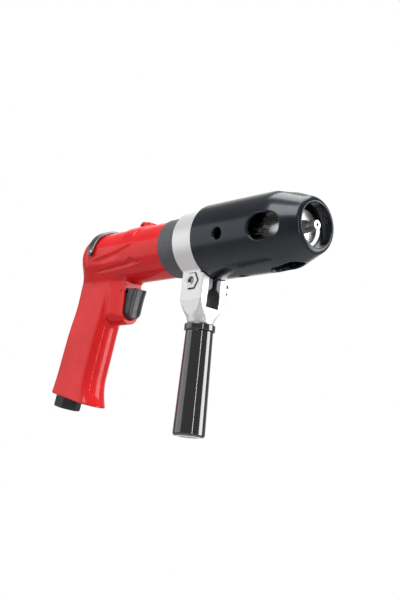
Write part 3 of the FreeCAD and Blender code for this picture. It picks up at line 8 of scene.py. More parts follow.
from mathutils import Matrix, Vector


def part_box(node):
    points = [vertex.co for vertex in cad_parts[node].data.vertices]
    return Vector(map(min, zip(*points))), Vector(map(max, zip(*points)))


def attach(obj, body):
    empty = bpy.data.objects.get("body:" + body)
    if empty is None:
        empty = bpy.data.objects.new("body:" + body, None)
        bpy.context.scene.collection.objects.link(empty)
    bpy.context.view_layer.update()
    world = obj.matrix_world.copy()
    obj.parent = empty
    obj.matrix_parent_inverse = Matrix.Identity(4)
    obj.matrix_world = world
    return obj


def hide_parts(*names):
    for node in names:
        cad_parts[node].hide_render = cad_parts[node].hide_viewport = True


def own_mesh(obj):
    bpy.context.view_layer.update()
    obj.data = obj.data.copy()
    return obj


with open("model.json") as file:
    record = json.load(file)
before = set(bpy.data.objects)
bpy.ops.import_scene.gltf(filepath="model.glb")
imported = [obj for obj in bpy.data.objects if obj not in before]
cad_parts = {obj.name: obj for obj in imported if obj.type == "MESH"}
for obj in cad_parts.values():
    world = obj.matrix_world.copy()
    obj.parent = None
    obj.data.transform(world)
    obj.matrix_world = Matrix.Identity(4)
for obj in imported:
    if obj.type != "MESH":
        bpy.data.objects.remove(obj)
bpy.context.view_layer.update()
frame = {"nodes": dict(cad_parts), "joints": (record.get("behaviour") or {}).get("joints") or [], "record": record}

# Looks of the pistol-grip pneumatic drill. Shapes are worked out in millimetres in the CAD
# model's own frame (+X out of the nose along the spindle, +Z up) and scaled to metres at the end.

MILLIMETRE = 0.001
COARSE = 1.0


def span(node):
    """Lowest and highest corner of a CAD node, in millimetres."""
    low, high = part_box(node)
    return [c / MILLIMETRE for c in low], [c / MILLIMETRE for c in high]


def node_middle(node):
    """Middle of a CAD node's box, in millimetres."""
    low, high = span(node)
    return [(a + b) / 2 for a, b in zip(low, high)]


MOUNTS = {mount["name"]: mount for mount in frame["record"]["mounts"]}
JOINTS = {joint["name"]: joint for joint in frame["joints"]}

# Housing. BARREL and MOTOR_BORE are radii about the spindle axis, DOME rounds the barrel's rear end
# and EYE_BORE is the hanging eye's radius. The rest are places along X or Z.
CASE_REAR = span("housing")[1][0]
BARREL = 25.6
DOME = 23.0
DOME_MIDDLE = -262.5
MOTOR_BORE = 22.5
EYE_X, _, EYE_Z = (place / MILLIMETRE for place in MOUNTS["hang_eye"]["pos_m"])
EYE_BORE = MOUNTS["hang_eye"]["dims"]["r_mm"]
LEVER_X = node_middle("reverse_lever")[0]

# Grip: raked back, and measured down it and forward across it from its root.
RAKE = math.radians(13.0)
GRIP_ROOT = -250.0
GRIP_LENGTH = 140.0
INLET_SET = -15.4
AIR_BORE = 4.6

# Trigger and the throttle behind it.
TRIGGER_LOW, TRIGGER_HIGH = span("trigger")
TRIGGER_TRAVEL = JOINTS["trigger_pull"]["range_m"][1] / MILLIMETRE
TRIGGER_GAP = 0.35
BOSS_FRONT = -219.0
THROTTLE = node_middle("throttle_spring")[2]
PIN_X, _, PIN_Z = node_middle("roll_pin")

# Chuck guard and its windows.
GUARD_LOW, GUARD_HIGH = span("chuck_guard")
GUARD = GUARD_HIGH[1]
GUARD_BORE = 29.4
GUARD_SEAT = 26.7
GUARD_MOUTH = 18.4
WINDOW_X, WINDOW_LENGTH, WINDOW_WIDTH = -31.4, 30.2, 21.0
VENT_X, VENT = -80.0, 5.0
LOCK_SCREW_X, LOCK_SCREW = -107.7, 2.5
WINDOW_TURN = math.radians(8.7)

# Clamp of the side handle.
CLAMP_LOW, CLAMP_HIGH = span("clamp_casting")
CLAMP = CLAMP_HIGH[2]
CLAMP_FRONT = -112.7
CLAMP_BOLT_Z = node_middle("clamp_nut")[2]
HANDLE_X = node_middle("side_handle")[0]
STUD = 5.0


# ---------------------------------------------------------------- fields and meshes

def soft_min(a, b, width):
    """The smaller of two fields, with a fillet about as wide as width."""
    share = np.clip(0.5 + 0.5 * (b - a) / width, 0, 1)
    return b + (a - b) * share - width * share * (1 - share)


def soft_max(a, b, width):
    return -soft_min(-a, -b, width)


def ease(value, start, end):
    """Rises smoothly from 0 to 1 between start and end."""
    t = np.clip((value - start) / (end - start), 0, 1)
    return t * t * (3 - 2 * t)


def rod_field(a, b, along, radius, start, end):
    """A straight round bar: a and b are measured across it, along is measured down it."""
    return np.maximum(np.hypot(a, b) - radius, np.maximum(start - along, along - end))


def steepness(field, points, reach=0.08):
    """Gradient of a field at each point."""
    steps = np.eye(3) * reach
    return np.stack([(field(*(points + s).T) - field(*(points - s).T)) / (2 * reach) for s in steps], 1)


def shift(cells, *axes):
    """Indices of the cells one step back along the given axes."""
    moved = cells.copy()
    for axis in axes:
        moved[:, axis] -= 1
    return tuple(moved.T)


def net(field, low, high, step):
    """Corners, normals and quads of a field's zero set, found with surface nets."""
    axes = [np.arange(a, b + step, step) for a, b in zip(low, high)]
    value = field(*np.meshgrid(*axes, indexing="ij"))
    inside = value < 0
    sizes = [n - 1 for n in inside.shape]
    full = np.zeros(sizes, dtype=np.int8)
    for corner in np.ndindex(2, 2, 2):
        full += inside[tuple(slice(c, c + n) for c, n in zip(corner, sizes))]
    crossed = (full > 0) & (full < 8)
    number = np.full(sizes, -1, dtype=np.int64)
    number[crossed] = np.arange(crossed.sum())
    cells = np.argwhere(crossed)
    total = np.zeros((len(cells), 3))
    hits = np.zeros(len(cells))
    for axis in range(3):
        for corner in np.ndindex(2, 2):
            first = cells + np.insert(np.array(corner), axis, 0)
            last = first + np.eye(3, dtype=int)[axis]
            here, there = value[tuple(first.T)], value[tuple(last.T)]
            cut = (here < 0) != (there < 0)
            part = np.where(cut, here / np.where(cut, here - there, 1), 0)
            total += np.where(cut[:, None], first + np.eye(3)[axis] * part[:, None], 0)
            hits += cut
    points = np.array(low) + step * total / hits[:, None]
    for _ in range(4):
        slope = steepness(field, points)
        move = slope * (field(*points.T) / np.maximum((slope ** 2).sum(1), 0.05))[:, None]
        points -= np.clip(move, -step / 2, step / 2)
    quads = []
    for axis in range(3):
        u, v = (axis + 1) % 3, (axis + 2) % 3
        ahead = np.roll(inside, -1, axis)
        change = inside != ahead
        for side, cuts in ((axis, (-1,)), (u, (0, -1)), (v, (0, -1))):
            for place in cuts:
                change[tuple(place if k == side else slice(None) for k in range(3))] = False
        places = np.argwhere(change)
        outward = inside[tuple(places.T)]
        ring = np.stack([number[shift(places, u, v)], number[shift(places, v)],
                         number[tuple(places.T)], number[shift(places, u)]], 1)
        quads.append(np.where(outward[:, None], ring, ring[:, ::-1]))
    slope = steepness(field, points)
    normals = slope / np.maximum(np.linalg.norm(slope, axis=1), 1e-6)[:, None]
    return points, normals, np.concatenate(quads)


def sculpt(name, field, low, high, step, body, *nodes):
    """A smooth piece meshed from a field, which stands for CAD nodes and moves with a body."""
    points, normals, quads = net(field, low, high, step * COARSE)
    mesh = bpy.data.meshes.new(name)
    mesh.from_pydata((points * MILLIMETRE).tolist(), [], quads.tolist())
    mesh.polygons.foreach_set("use_smooth", [True] * len(mesh.polygons))
    mesh.normals_split_custom_set_from_vertices(normals.tolist())
    return stand_in(name, mesh, body, *nodes)


def stand_in(name, mesh, body, *nodes):
    """Shows a mesh in place of CAD nodes and lets it move with a body."""
    piece = bpy.data.objects.new(name, mesh)
    bpy.context.collection.objects.link(piece)
    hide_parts(*nodes)
    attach(piece, body)
    return piece


def lathe(name, profile, middle, body, *nodes, segments=144, crease=32):
    """A piece turned about a vertical line at x = middle from (z, radius) points."""
    shape = bmesh.new()
    rings = []
    for z, radius in profile:
        if radius < 1e-6:
            rings.append([shape.verts.new((middle * MILLIMETRE, 0, z * MILLIMETRE))])
            continue
        turn = [2 * math.pi * k / segments for k in range(segments)]
        rings.append([shape.verts.new(((middle + radius * math.cos(a)) * MILLIMETRE,
                                       radius * math.sin(a) * MILLIMETRE, z * MILLIMETRE)) for a in turn])
    for lower, upper in zip(rings, rings[1:]):
        for k in range(segments):
            after = (k + 1) % segments
            corners = [lower[k % len(lower)], lower[after % len(lower)],
                       upper[after % len(upper)], upper[k % len(upper)]]
            shape.faces.new(list(dict.fromkeys(corners)))
    bmesh.ops.recalc_face_normals(shape, faces=shape.faces)
    mesh = bpy.data.meshes.new(name)
    shape.to_mesh(mesh)
    shape.free()
    mesh.polygons.foreach_set("use_smooth", [True] * len(mesh.polygons))
    mesh.set_sharp_from_angle(angle=math.radians(crease))
    return stand_in(name, mesh, body, *nodes)


def bend(centre, radius, start, end, steps=8):
    """Points of an arc in a lathe profile; angles run from the axis direction outwards."""
    angles = [math.radians(start + (end - start) * k / steps) for k in range(steps + 1)]
    return [(centre[0] + radius * math.cos(a), centre[1] + radius * math.sin(a)) for a in angles]


# ---------------------------------------------------------------- housing

def hollow_line(along, across, start, end, middle, half, depth):
    """Depth of a hollow that follows a curved middle line and narrows to both ends."""
    t = np.clip((along - start) / (end - start), 0, 1)
    taper = 4 * t * (1 - t)
    width = half * taper + 1.0
    return depth * ease(taper, 0, 0.6) * ease(1 - np.abs(across - middle(t)) / width, 0, 1)


def relief(x, y, z):
    """How far the cast sides of the barrel are sunk below its cylinder: a wing, a crease and a notch."""
    arc = np.arctan2(z, np.abs(y)) * BARREL
    wing = hollow_line(x, arc, -256, -194, lambda t: -7.4 + 12.5 * t ** 2.4, 4.0, 1.5)
    crease = hollow_line(x, arc, -257, -185, lambda t: -18.2 + 4.2 * t, 2.3, 1.7)
    foot, deepest = -15.4, 2.8
    left = (x + 214) * 0.47 - (arc - foot) * 0.88
    right = -(x + 189.5) * 0.57 - (arc - foot) * 0.82
    notch = 2.1 * ease(soft_min(left, right, 1.2), 0, 2.6) * ease(arc, foot, foot + 3)
    return np.minimum(wing + crease + notch, deepest)


def barrel_field(x, y, z):
    """The barrel with its rear dome, up to the grey gear case."""
    radius = np.hypot(y, z)
    crown = BARREL - DOME
    shell = np.hypot(np.maximum(radius - crown, 0), np.minimum(x - DOME_MIDDLE, 0)) - DOME
    return soft_max(shell + relief(x, y, z), x - CASE_REAR, 1.0)


def grip_axes(x, z):
    """(down, forward): distances along the raked grip and across it."""
    run = x - GRIP_ROOT
    down = -run * math.sin(RAKE) - z * math.cos(RAKE)
    forward = run * math.cos(RAKE) - z * math.sin(RAKE)
    return down, forward


def grip_field(x, y, z):
    """The grip: a round front and a squarer back, with a waist behind and a toe at the foot."""
    down, forward = grip_axes(x, z)
    corner, nose = 9.0, 16.5
    toe = np.clip((down - 112) / 28, 0, 1) ** 2
    half = 13.1 + 0.9 * ease(down, 30, 110) + 1.2 * toe
    rear = -31.3 + 1.8 * np.exp(-((down - 54) / 17) ** 2)
    front = 21.4 + 0.03 * np.maximum(down - 70, 0) + 9.6 * toe
    back = np.hypot(np.maximum(np.abs(y) - (half - corner), 0),
                    np.maximum(rear + corner - forward, 0)) - corner
    face = np.hypot(np.maximum(forward - (front - nose), 0), y) - nose
    section = soft_max(back, face, 1.6)
    return np.maximum(soft_max(section, down - GRIP_LENGTH, 1.8), -down)


def boss_field(x, y, z):
    """A U-shaped block under the barrel that holds the trigger and widens towards the grip."""
    half, low = 9.75, -65.5
    wide = half + 3.2 * ease(-x, 222, 238) - 7 * ease(-x, 238, 250)
    shape = np.hypot(y, np.minimum(z - (low + wide), 0)) - wide
    return np.maximum(shape, np.maximum(GRIP_ROOT - x, x - BOSS_FRONT))


def eye_field(x, y, z):
    """The hanging eye, its web and the saddle that carries it over the barrel."""
    radius = 4.2
    side = np.abs(y)
    eye = soft_max(np.hypot(x - EYE_X, z - EYE_Z) - radius, side - 4.9, 1.0)
    crest = (z - (EYE_Z + radius)) + (x - EYE_X) * 0.13
    slope = (x + 197.5) * 0.86 + (z - 27) * 0.5
    web = soft_max(soft_max(crest, slope, 2.0), soft_max(side - 4.6, EYE_X - x, 1.0), 1.2)
    web = np.maximum(web, 20 - z)
    angle = np.degrees(np.arctan2(z, side))
    rise = -2.0 + 3.2 * ease(angle, 6, 34)
    front = -201.0 + 5.0 * ease(angle, 10, 75)
    saddle = soft_max(np.hypot(y, z) - BARREL - rise, soft_max(x - front, -216.0 - x, 1.0), 0.9)
    return soft_min(soft_min(eye, web, 1.2), saddle, 1.6)


def bores_field(x, y, z):
    """Everything that is hollow in the housing."""
    down, forward = grip_axes(x, z)
    hollows = {
        "motor": rod_field(y, z, x, MOTOR_BORE, -250, CASE_REAR + 5),
        "rear bearing": rod_field(y, z, x, 17.3, -266, -249),
        "throttle": rod_field(y, z - THROTTLE, x, 7.0, -283.5, -235.5),
        "supply": rod_field(x + 257, y, z, AIR_BORE, THROTTLE, 0),
        "air passage": rod_field(forward - INLET_SET, y, down, AIR_BORE, 50, GRIP_LENGTH + 5),
        "inlet": rod_field(forward - INLET_SET, y, down, 8.5, GRIP_LENGTH - 16, GRIP_LENGTH + 5),
        "hanging eye": rod_field(x - EYE_X, z - EYE_Z, y, EYE_BORE, -20, 20),
        "trigger pin": rod_field(x - PIN_X, z - PIN_Z, y, 1.15, -20, 20),
        "exhaust": np.maximum(soft_max(np.abs(forward - 10.5) - 9, np.abs(y) - 8.5, 5.0),
                              GRIP_LENGTH - 24 - down),
        "lever slot": np.maximum(np.abs(x - LEVER_X) - 2.2, np.maximum(np.abs(y) - z * 0.53, 5 - z)),
    }
    return np.minimum.reduce(list(hollows.values()))


def housing_field(x, y, z):
    """The whole casting: barrel, grip, trigger boss and eye, less the trigger's pocket and the bores."""
    shell = soft_min(barrel_field(x, y, z), grip_field(x, y, z), 9.0)
    boss = soft_max(boss_field(x, y, z), z + 12, 1.0)
    shell = soft_min(shell, soft_max(boss, x - BOSS_FRONT, 0.8), 3.5)
    shell = soft_max(shell, np.where(z < -30, x - BOSS_FRONT, -50.0), 0.8)
    shell = soft_min(shell, eye_field(x, y, z), 1.2)
    half = TRIGGER_HIGH[1] + TRIGGER_GAP
    roof = TRIGGER_HIGH[2] + TRIGGER_GAP
    rear = TRIGGER_LOW[0] - TRIGGER_TRAVEL - 1
    pocket = np.hypot(y, np.minimum(z - (TRIGGER_LOW[2] - TRIGGER_GAP + half), 0)) - half
    pocket = np.maximum(np.maximum(pocket, z - roof), np.maximum(rear - x, x + 190))
    shell = soft_max(shell, -pocket, 0.9)
    return soft_max(shell, -bores_field(x, y, z), 0.5)


# ---------------------------------------------------------------- chuck guard

def stadium(along, across, middle, length, width):
    """A slot with round ends."""
    reach = (length - width) / 2
    return np.hypot(np.maximum(np.abs(along - middle) - reach, 0), across) - width / 2


def guard_field(x, y, z):
    """The guard: a tube with a cone at the nose, four windows, four vents and two screw holes."""
    radius = np.hypot(y, z)
    cone = (x + 29) * 0.3434 + (radius - GUARD) * 0.9392
    skin = soft_max(soft_max(radius - GUARD, cone, 2.2), x, 4.2)
    skin = soft_max(skin, GUARD_LOW[0] - x, 1.2)
    funnel = (x + 31) * 0.4439 + (radius - GUARD_BORE) * 0.8961
    room = soft_max(np.maximum(radius - GUARD_BORE, -103.2 - x), funnel, 2.0)
    room = soft_min(room, radius - GUARD_MOUTH, 1.8)
    room = np.minimum(room, np.maximum(radius - GUARD_SEAT, x + 100))
    shell = soft_max(skin, -room, 1.0)
    a = y * math.cos(WINDOW_TURN) + z * math.sin(WINDOW_TURN)
    b = z * math.cos(WINDOW_TURN) - y * math.sin(WINDOW_TURN)
    for across, outwards in ((a, b), (b, a)):
        window = np.maximum(stadium(x, across, WINDOW_X, WINDOW_LENGTH, WINDOW_WIDTH),
                            14 - np.abs(outwards))
        vent = np.maximum(np.hypot(x - VENT_X, across) - VENT, 20 - np.abs(outwards))
        shell = soft_max(shell, -window, 1.5)
        shell = soft_max(shell, -vent, 1.2)
    for angle in (155, 205):
        side, rise = -math.cos(math.radians(angle)), math.sin(math.radians(angle))
        screw = rod_field(x - LOCK_SCREW_X, b * side - a * rise, a * side + b * rise, LOCK_SCREW, 10, 50)
        shell = soft_max(shell, -screw, 0.5)
    return shell


# ---------------------------------------------------------------- lever, trigger and clamp

def lever_field(x, y, z):
    """A curved band round the rear shoulder with round ends and a thumb knob."""
    inner, outer, half = 26.0, 28.3, 5.5
    radius = np.hypot(y, z)
    angle = np.arctan2(z, -y)
    thickness = np.abs(radius - (inner + outer) / 2) - (outer - inner) / 2
    start, end = math.radians(-4), math.radians(140)
    reach = (end - start) / 2 * outer - half
    arc = (angle - (start + end) / 2) * outer
    slim = half - 1.1 * ease(np.abs(arc), 0, reach)
    outline = np.hypot(x - LEVER_X, np.maximum(np.abs(arc) - reach, 0)) - slim
    band = soft_max(outline, thickness, 0.9)
    knob_y, knob_z = -math.cos(math.radians(1.5)), math.sin(math.radians(1.5))
    out = y * knob_y + z * knob_z
    across = z * -knob_y + y * knob_z
    knob = soft_max(np.hypot(x - LEVER_X, across) - 3.2, np.abs(out - 28.2) - 1.6, 1.6)
    return soft_min(band, knob, 1.0)


def trigger_field(x, y, z):
    """The trigger: a U-shaped slide with a dished, forward-leaning face."""
    nose, half, high = TRIGGER_HIGH
    low = TRIGGER_LOW[2]
    shape = np.hypot(y, np.minimum(z - (low + half), 0)) - half
    fall = np.clip((high - z) / (high - low), 0, 1)
    lean = nose - 5.6 * fall - 4.4 * fall * (1 - fall)
    dish = 0.9 * ease(1 - np.abs(y) / (half - 1.2), 0, 0.7)
    block = soft_max(shape, x - lean + dish, 1.4)
    block = soft_max(block, soft_max(z - high, TRIGGER_LOW[0] - x, 0.4), 1.2)
    slot = np.maximum(np.abs(x + 221.3) - 4.2, np.abs(z - PIN_Z) - 1.2)
    stem = rod_field(y, z - THROTTLE, x, 2.4, -235, -223.5)
    return np.maximum(block, -np.minimum(slot, stem))


def clamp_field(x, y, z):
    """A split casting: a band round the gear case and a yoke for the side handle."""
    side = np.abs(y)
    radius = np.hypot(y, z)
    middle, reach = (CLAMP_LOW[0] + CLAMP_FRONT) / 2, (CLAMP_FRONT - CLAMP_LOW[0]) / 2
    band = soft_max(radius - CLAMP, np.abs(x - middle) - reach, 1.2)
    taper = np.clip((-53 - z) / 19.8, 0, 1)
    square = soft_max(side - 15.1 + 4.06 * taper, np.abs(x - HANDLE_X) - 13 + 1.96 * taper, 1.4)
    axis = np.hypot(x - HANDLE_X, y)
    cone = (axis - 19) * 0.905 + (-55 - z) * 0.425
    yoke = soft_max(soft_max(square, cone, 0.9), axis - 12 - 9 * (1 - ease(taper, 0, 0.85)), 1.0)
    yoke = soft_max(yoke, soft_max(z + 20, CLAMP_LOW[2] - z, 0.5), 0.9)
    shell = soft_min(band, yoke, 3.0)
    shell = soft_max(shell, -(radius - 26.65), 0.5)
    shell = soft_max(shell, -np.maximum(radius - 33.6, CLAMP_FRONT - x), 0.6)
    slit = np.maximum(side - 2.15, np.maximum(-48 - z, z + 20))
    arch = np.where(z > -49, np.hypot(y, z + 49) - 7, np.maximum(side - 7, -58.5 - z))
    shell = soft_max(shell, -soft_min(slit, arch, 1.2), 0.9)
    along, rise = np.abs(x - HANDLE_X), np.abs(z - CLAMP_BOLT_Z)
    bolt = np.hypot(along, rise) - 4.1
    flats = np.maximum(rise, along * 0.866 + rise * 0.5) - 7.2
    recess = np.maximum(flats, y + 9.9)
    shell = soft_max(shell, -np.minimum(bolt, recess), 0.6)
    return np.maximum(shell, -rod_field(x - HANDLE_X, y, z, STUD, -80, -60))


# Each piece's field, the size of its mesh cells, the room left round it, its body and its CAD node.
SCULPTED = {
    "enamelled_housing": (housing_field, 0.85, (1.5, 3.0, 1.5), "tool", "housing"),
    "black_guard": (guard_field, 0.8, 1.3, "tool", "chuck_guard"),
    "steel_lever": (lever_field, 0.42, 2.0, "lever", "reverse_lever"),
    "trigger_slide": (trigger_field, 0.42, 1.5, "trigger", "trigger"),
    "cast_clamp": (clamp_field, 0.6, 1.5, "side_handle", "clamp_casting"),
}


def make_shapes():
    for name, (field, cell, room, body, node) in SCULPTED.items():
        low, high = (np.array(corner) for corner in span(node))
        sculpt(name, field, low - room, high + room, cell, body, node)


def make_side_handle():
    """The turned grip of the side handle and the collar above it."""
    low, high = span("side_handle")
    bottom = high[0] - HANDLE_X
    top, edge = 12.1, 2.6
    profile = [(low[2], 0.0), (low[2] + 0.35, 6.0), (low[2], 6.6)]
    profile += bend((low[2] + edge, bottom - edge), edge, 180, 90)
    profile += [(low[2] + edge + 2, bottom - 0.03), (high[2] - 1.2, top)]
    profile += bend((high[2] - 0.8, top - 0.8), 0.8, 90, 0, 4)
    profile += [(high[2], STUD), (high[2] - 30, STUD), (high[2] - 30, 0.0)]
    lathe("handle_grip", profile, HANDLE_X, "side_handle", "side_handle")
    low, high = span("handle_collar")
    rim = high[0] - HANDLE_X
    profile = [(low[2], STUD)]
    profile += bend((low[2] + 0.9, rim - 0.9), 0.9, 180, 90, 5)
    profile += bend((high[2] - 0.9, rim - 0.9), 0.9, 90, 0, 5)
    profile += [(high[2], STUD), (low[2], STUD)]
    lathe("handle_ring", profile, HANDLE_X, "side_handle", "handle_collar")


def make_spring():
    """The throttle spring's coils, copied from its CAD node and fixed to the tool body; the real coils close up
    from the front as the trigger is pulled.
    """
    mesh = frame["nodes"]["throttle_spring"].data.copy()
    coil = stand_in("throttle_coil", mesh, "tool", "throttle_spring")
    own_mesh(coil)


def break_edges():
    """Rounds the sharp edges of the CAD nodes that show, so that they catch the light."""
    for node, width in (("chuck_sleeve", 0.22), ("chuck_body", 0.4), ("inlet_bushing", 0.3),
                        ("clamp_nut", 0.25), ("clamp_bolt", 0.4), ("gear_case", 0.3)):
        edge = frame["nodes"][node].modifiers.new("edge break", "BEVEL")
        edge.width = width * MILLIMETRE
        edge.segments = 2
        edge.limit_method = "ANGLE"
        edge.angle_limit = math.radians(35)
        edge.harden_normals = True


# ---------------------------------------------------------------- materials

class Finish:
    """A procedural material: tint, gloss and grain all vary over the surface."""

    def __init__(self, name):
        self.material = bpy.data.materials.new(name)
        self.material.use_nodes = True
        self.tree = self.material.node_tree
        self.shader = self.tree.nodes["Principled BSDF"]
        self.place = self.add("ShaderNodeTexCoord").outputs["Object"]

    def add(self, kind, **settings):
        node = self.tree.nodes.new(kind)
        for name, value in settings.items():
            setattr(node, name, value)
        return node

    def link(self, source, target):
        self.tree.links.new(source, target)

    def stretched(self, scale):
        mapping = self.add("ShaderNodeMapping")
        mapping.inputs["Scale"].default_value = scale
        self.link(self.place, mapping.inputs["Vector"])
        return mapping.outputs["Vector"]

    def noise(self, scale, detail=3.0, place=None):
        texture = self.add("ShaderNodeTexNoise")
        texture.inputs["Scale"].default_value = scale
        texture.inputs["Detail"].default_value = detail
        self.link(place or self.place, texture.inputs["Vector"])
        return texture.outputs["Fac"]

    def ramp(self, source, low, high, start=0.3, end=0.7):
        remap = self.add("ShaderNodeMapRange")
        for name, value in (("From Min", start), ("From Max", end), ("To Min", low), ("To Max", high)):
            remap.inputs[name].default_value = value
        self.link(source, remap.inputs["Value"])
        return remap.outputs["Result"]

    def times(self, first, second):
        product = self.add("ShaderNodeMath", operation="MULTIPLY")
        self.link(first, product.inputs[0])
        self.link(second, product.inputs[1])
        return product.outputs["Value"]

    def tint(self, source, first, second, start=0.35, end=0.65):
        colours = self.add("ShaderNodeValToRGB")
        colours.color_ramp.elements[0].position = start
        colours.color_ramp.elements[0].color = (*first, 1)
        colours.color_ramp.elements[1].position = end
        colours.color_ramp.elements[1].color = (*second, 1)
        self.link(source, colours.inputs["Fac"])
        self.link(colours.outputs["Color"], self.shader.inputs["Base Color"])

    def gloss(self, source, low, high):
        self.link(self.ramp(source, low, high), self.shader.inputs["Roughness"])

    def bump(self, height, strength, depth):
        bump = self.add("ShaderNodeBump")
        bump.inputs["Strength"].default_value = strength
        bump.inputs["Distance"].default_value = depth
        self.link(height, bump.inputs["Height"])
        if self.shader.inputs["Normal"].is_linked:
            self.link(self.shader.inputs["Normal"].links[0].from_socket, bump.inputs["Normal"])
        self.link(bump.outputs["Normal"], self.shader.inputs["Normal"])

    def set(self, **values):
        for name, value in values.items():
            self.shader.inputs[name.replace("_", " ")].default_value = value


def enamel():
    """Thick gloss enamel over a casting, with faint file marks on the flat sides of the grip."""
    finish = Finish("red enamel")
    finish.tint(finish.noise(30, 4), (0.70, 0.010, 0.013), (0.78, 0.016, 0.019))
    finish.gloss(finish.noise(180, 3), 0.30, 0.42)
    finish.set(Coat_Weight=0.45, Coat_Roughness=0.06, Specular_IOR_Level=0.15)
    finish.bump(finish.noise(420, 2), 0.10, 0.0002)
    waves = finish.add("ShaderNodeTexWave", bands_direction="Z")
    waves.inputs["Scale"].default_value = 42
    waves.inputs["Distortion"].default_value = 1.2
    waves.inputs["Detail Scale"].default_value = 2.0
    finish.link(finish.stretched((0.35, 1, 1)), waves.inputs["Vector"])
    parts = finish.add("ShaderNodeSeparateXYZ")
    finish.link(finish.place, parts.inputs["Vector"])
    low = finish.ramp(parts.outputs["Z"], 1, 0, -0.075, -0.050)
    rear = finish.ramp(parts.outputs["X"], 1, 0, -0.252, -0.247)
    lines = finish.ramp(waves.outputs["Fac"], 0, 1, 0.90, 0.99)
    finish.bump(finish.times(finish.times(lines, low), rear), 0.25, 0.0002)
    return finish.material


def guard_black():
    """A dark, faintly blue coating with a soft shine."""
    finish = Finish("satin black coating")
    finish.tint(finish.noise(40, 4), (0.006, 0.008, 0.012), (0.010, 0.012, 0.017))
    finish.gloss(finish.noise(220, 4), 0.25, 0.28)
    finish.set(Specular_IOR_Level=0.45, Specular_Tint=(0.82, 0.90, 1.0, 1.0),
               Coat_Weight=0.25, Coat_Roughness=0.12)
    finish.bump(finish.noise(1800, 2), 0.015, 0.00005)
    return finish.material


def case_grey():
    """Matte grey paint over a fine casting."""
    finish = Finish("matte grey case")
    finish.tint(finish.noise(60, 4), (0.085, 0.090, 0.100), (0.115, 0.118, 0.128))
    finish.gloss(finish.noise(300, 3), 0.45, 0.58)
    finish.set(Metallic=0.25)
    finish.bump(finish.noise(2200, 3), 0.15, 0.00008)
    return finish.material


def metal(name, dark, light, rough, brushed=None, grain=1800, depth=0.00006, bare=1.0):
    """Metal; brushed gives the stretch of its tool marks along X, Y and Z."""
    finish = Finish(name)
    marks = finish.noise(900, 4, finish.stretched(brushed)) if brushed else finish.noise(grain, 4)
    finish.tint(finish.noise(50, 3), dark, light)
    finish.gloss(marks, rough * 0.8, rough * 1.25)
    finish.set(Metallic=bare)
    finish.bump(marks, 0.15, depth)
    return finish.material


def clamp_aluminium():
    """Blasted bright aluminium, with painted shade: the base colour turns dark inside the slot between the cheeks.
    """
    finish = Finish("cast aluminium")
    parts = finish.add("ShaderNodeSeparateXYZ")
    finish.link(finish.place, parts.inputs["Vector"])
    side = finish.add("ShaderNodeMath", operation="ABSOLUTE")
    finish.link(parts.outputs["Y"], side.inputs[0])
    inside = finish.ramp(side.outputs["Value"], 1, 0, 0.0070, 0.0074)
    above = finish.ramp(parts.outputs["Z"], 0, 1, -0.0592, -0.0586)
    below = finish.ramp(parts.outputs["Z"], 1, 0, -0.0300, -0.0270)
    slot = finish.times(finish.times(inside, above), below)
    # painted shade: the slot mask darkens the base colour where shade falls between the cheeks
    finish.tint(slot, (0.84, 0.84, 0.85), (0.13, 0.13, 0.135), 0.2, 0.8)
    grain = finish.noise(1500, 4)
    finish.gloss(grain, 0.34, 0.50)
    finish.set(Metallic=0.6)
    finish.bump(grain, 0.12, 0.00006)
    return finish.material


def plastic(name, dark, light, rough, coat=0.0, grain=900, depth=0.00005):
    """Plastic, rubber or felt; coat adds a clear shine over it."""
    finish = Finish(name)
    finish.tint(finish.noise(70, 3), dark, light)
    finish.gloss(finish.noise(250, 3), rough * 0.8, rough * 1.25)
    finish.set(Coat_Weight=coat, Coat_Roughness=0.04, Coat_IOR=1.9)
    finish.bump(finish.noise(grain, 3), 0.12, depth)
    return finish.material


def make_finishes():
    """One material for each of the record's slots."""
    grey = (0.72, 0.72, 0.73)
    return {
        "housing_enamel": enamel(),
        "guard_black": guard_black(),
        "case_grey": case_grey(),
        "clamp_aluminium": clamp_aluminium(),
        "handle_black": plastic("gloss black nylon", (0.004, 0.004, 0.005), (0.008, 0.008, 0.009), 0.10,
                                coat=1.0),
        "lever_steel": metal("dark spring steel", (0.20, 0.20, 0.20), (0.30, 0.30, 0.30), 0.30, (1, 8, 8)),
        "trigger_plastic": plastic("grey nylon", (0.026, 0.027, 0.031), (0.040, 0.042, 0.047), 0.34),
        "bare_steel": metal("machined steel", (0.60, 0.60, 0.61), grey, 0.26, (1, 12, 12), bare=0.8),
        "dark_steel": metal("blued steel", (0.22, 0.22, 0.23), (0.32, 0.32, 0.33), 0.20, (1, 10, 10)),
        "bearing_steel": metal("polished steel", (0.68, 0.68, 0.69), (0.78, 0.78, 0.79), 0.12),
        "oxide_steel": metal("black oxide steel", (0.035, 0.040, 0.040), (0.060, 0.066, 0.066), 0.36),
        "zinc_bolt": metal("zinc plate", (0.62, 0.63, 0.65), (0.78, 0.79, 0.80), 0.24),
        "bronze": metal("sintered bronze", (0.42, 0.28, 0.13), (0.55, 0.38, 0.20), 0.42, grain=2600),
        "seal_rubber": plastic("seal rubber", (0.012, 0.012, 0.012), (0.024, 0.024, 0.024), 0.60),
        "vane_phenolic": plastic("phenolic vane", (0.12, 0.06, 0.03), (0.20, 0.11, 0.06), 0.50),
        "felt_grey": plastic("grey felt", (0.22, 0.22, 0.21), (0.34, 0.34, 0.33), 0.90, depth=0.0003),
    }


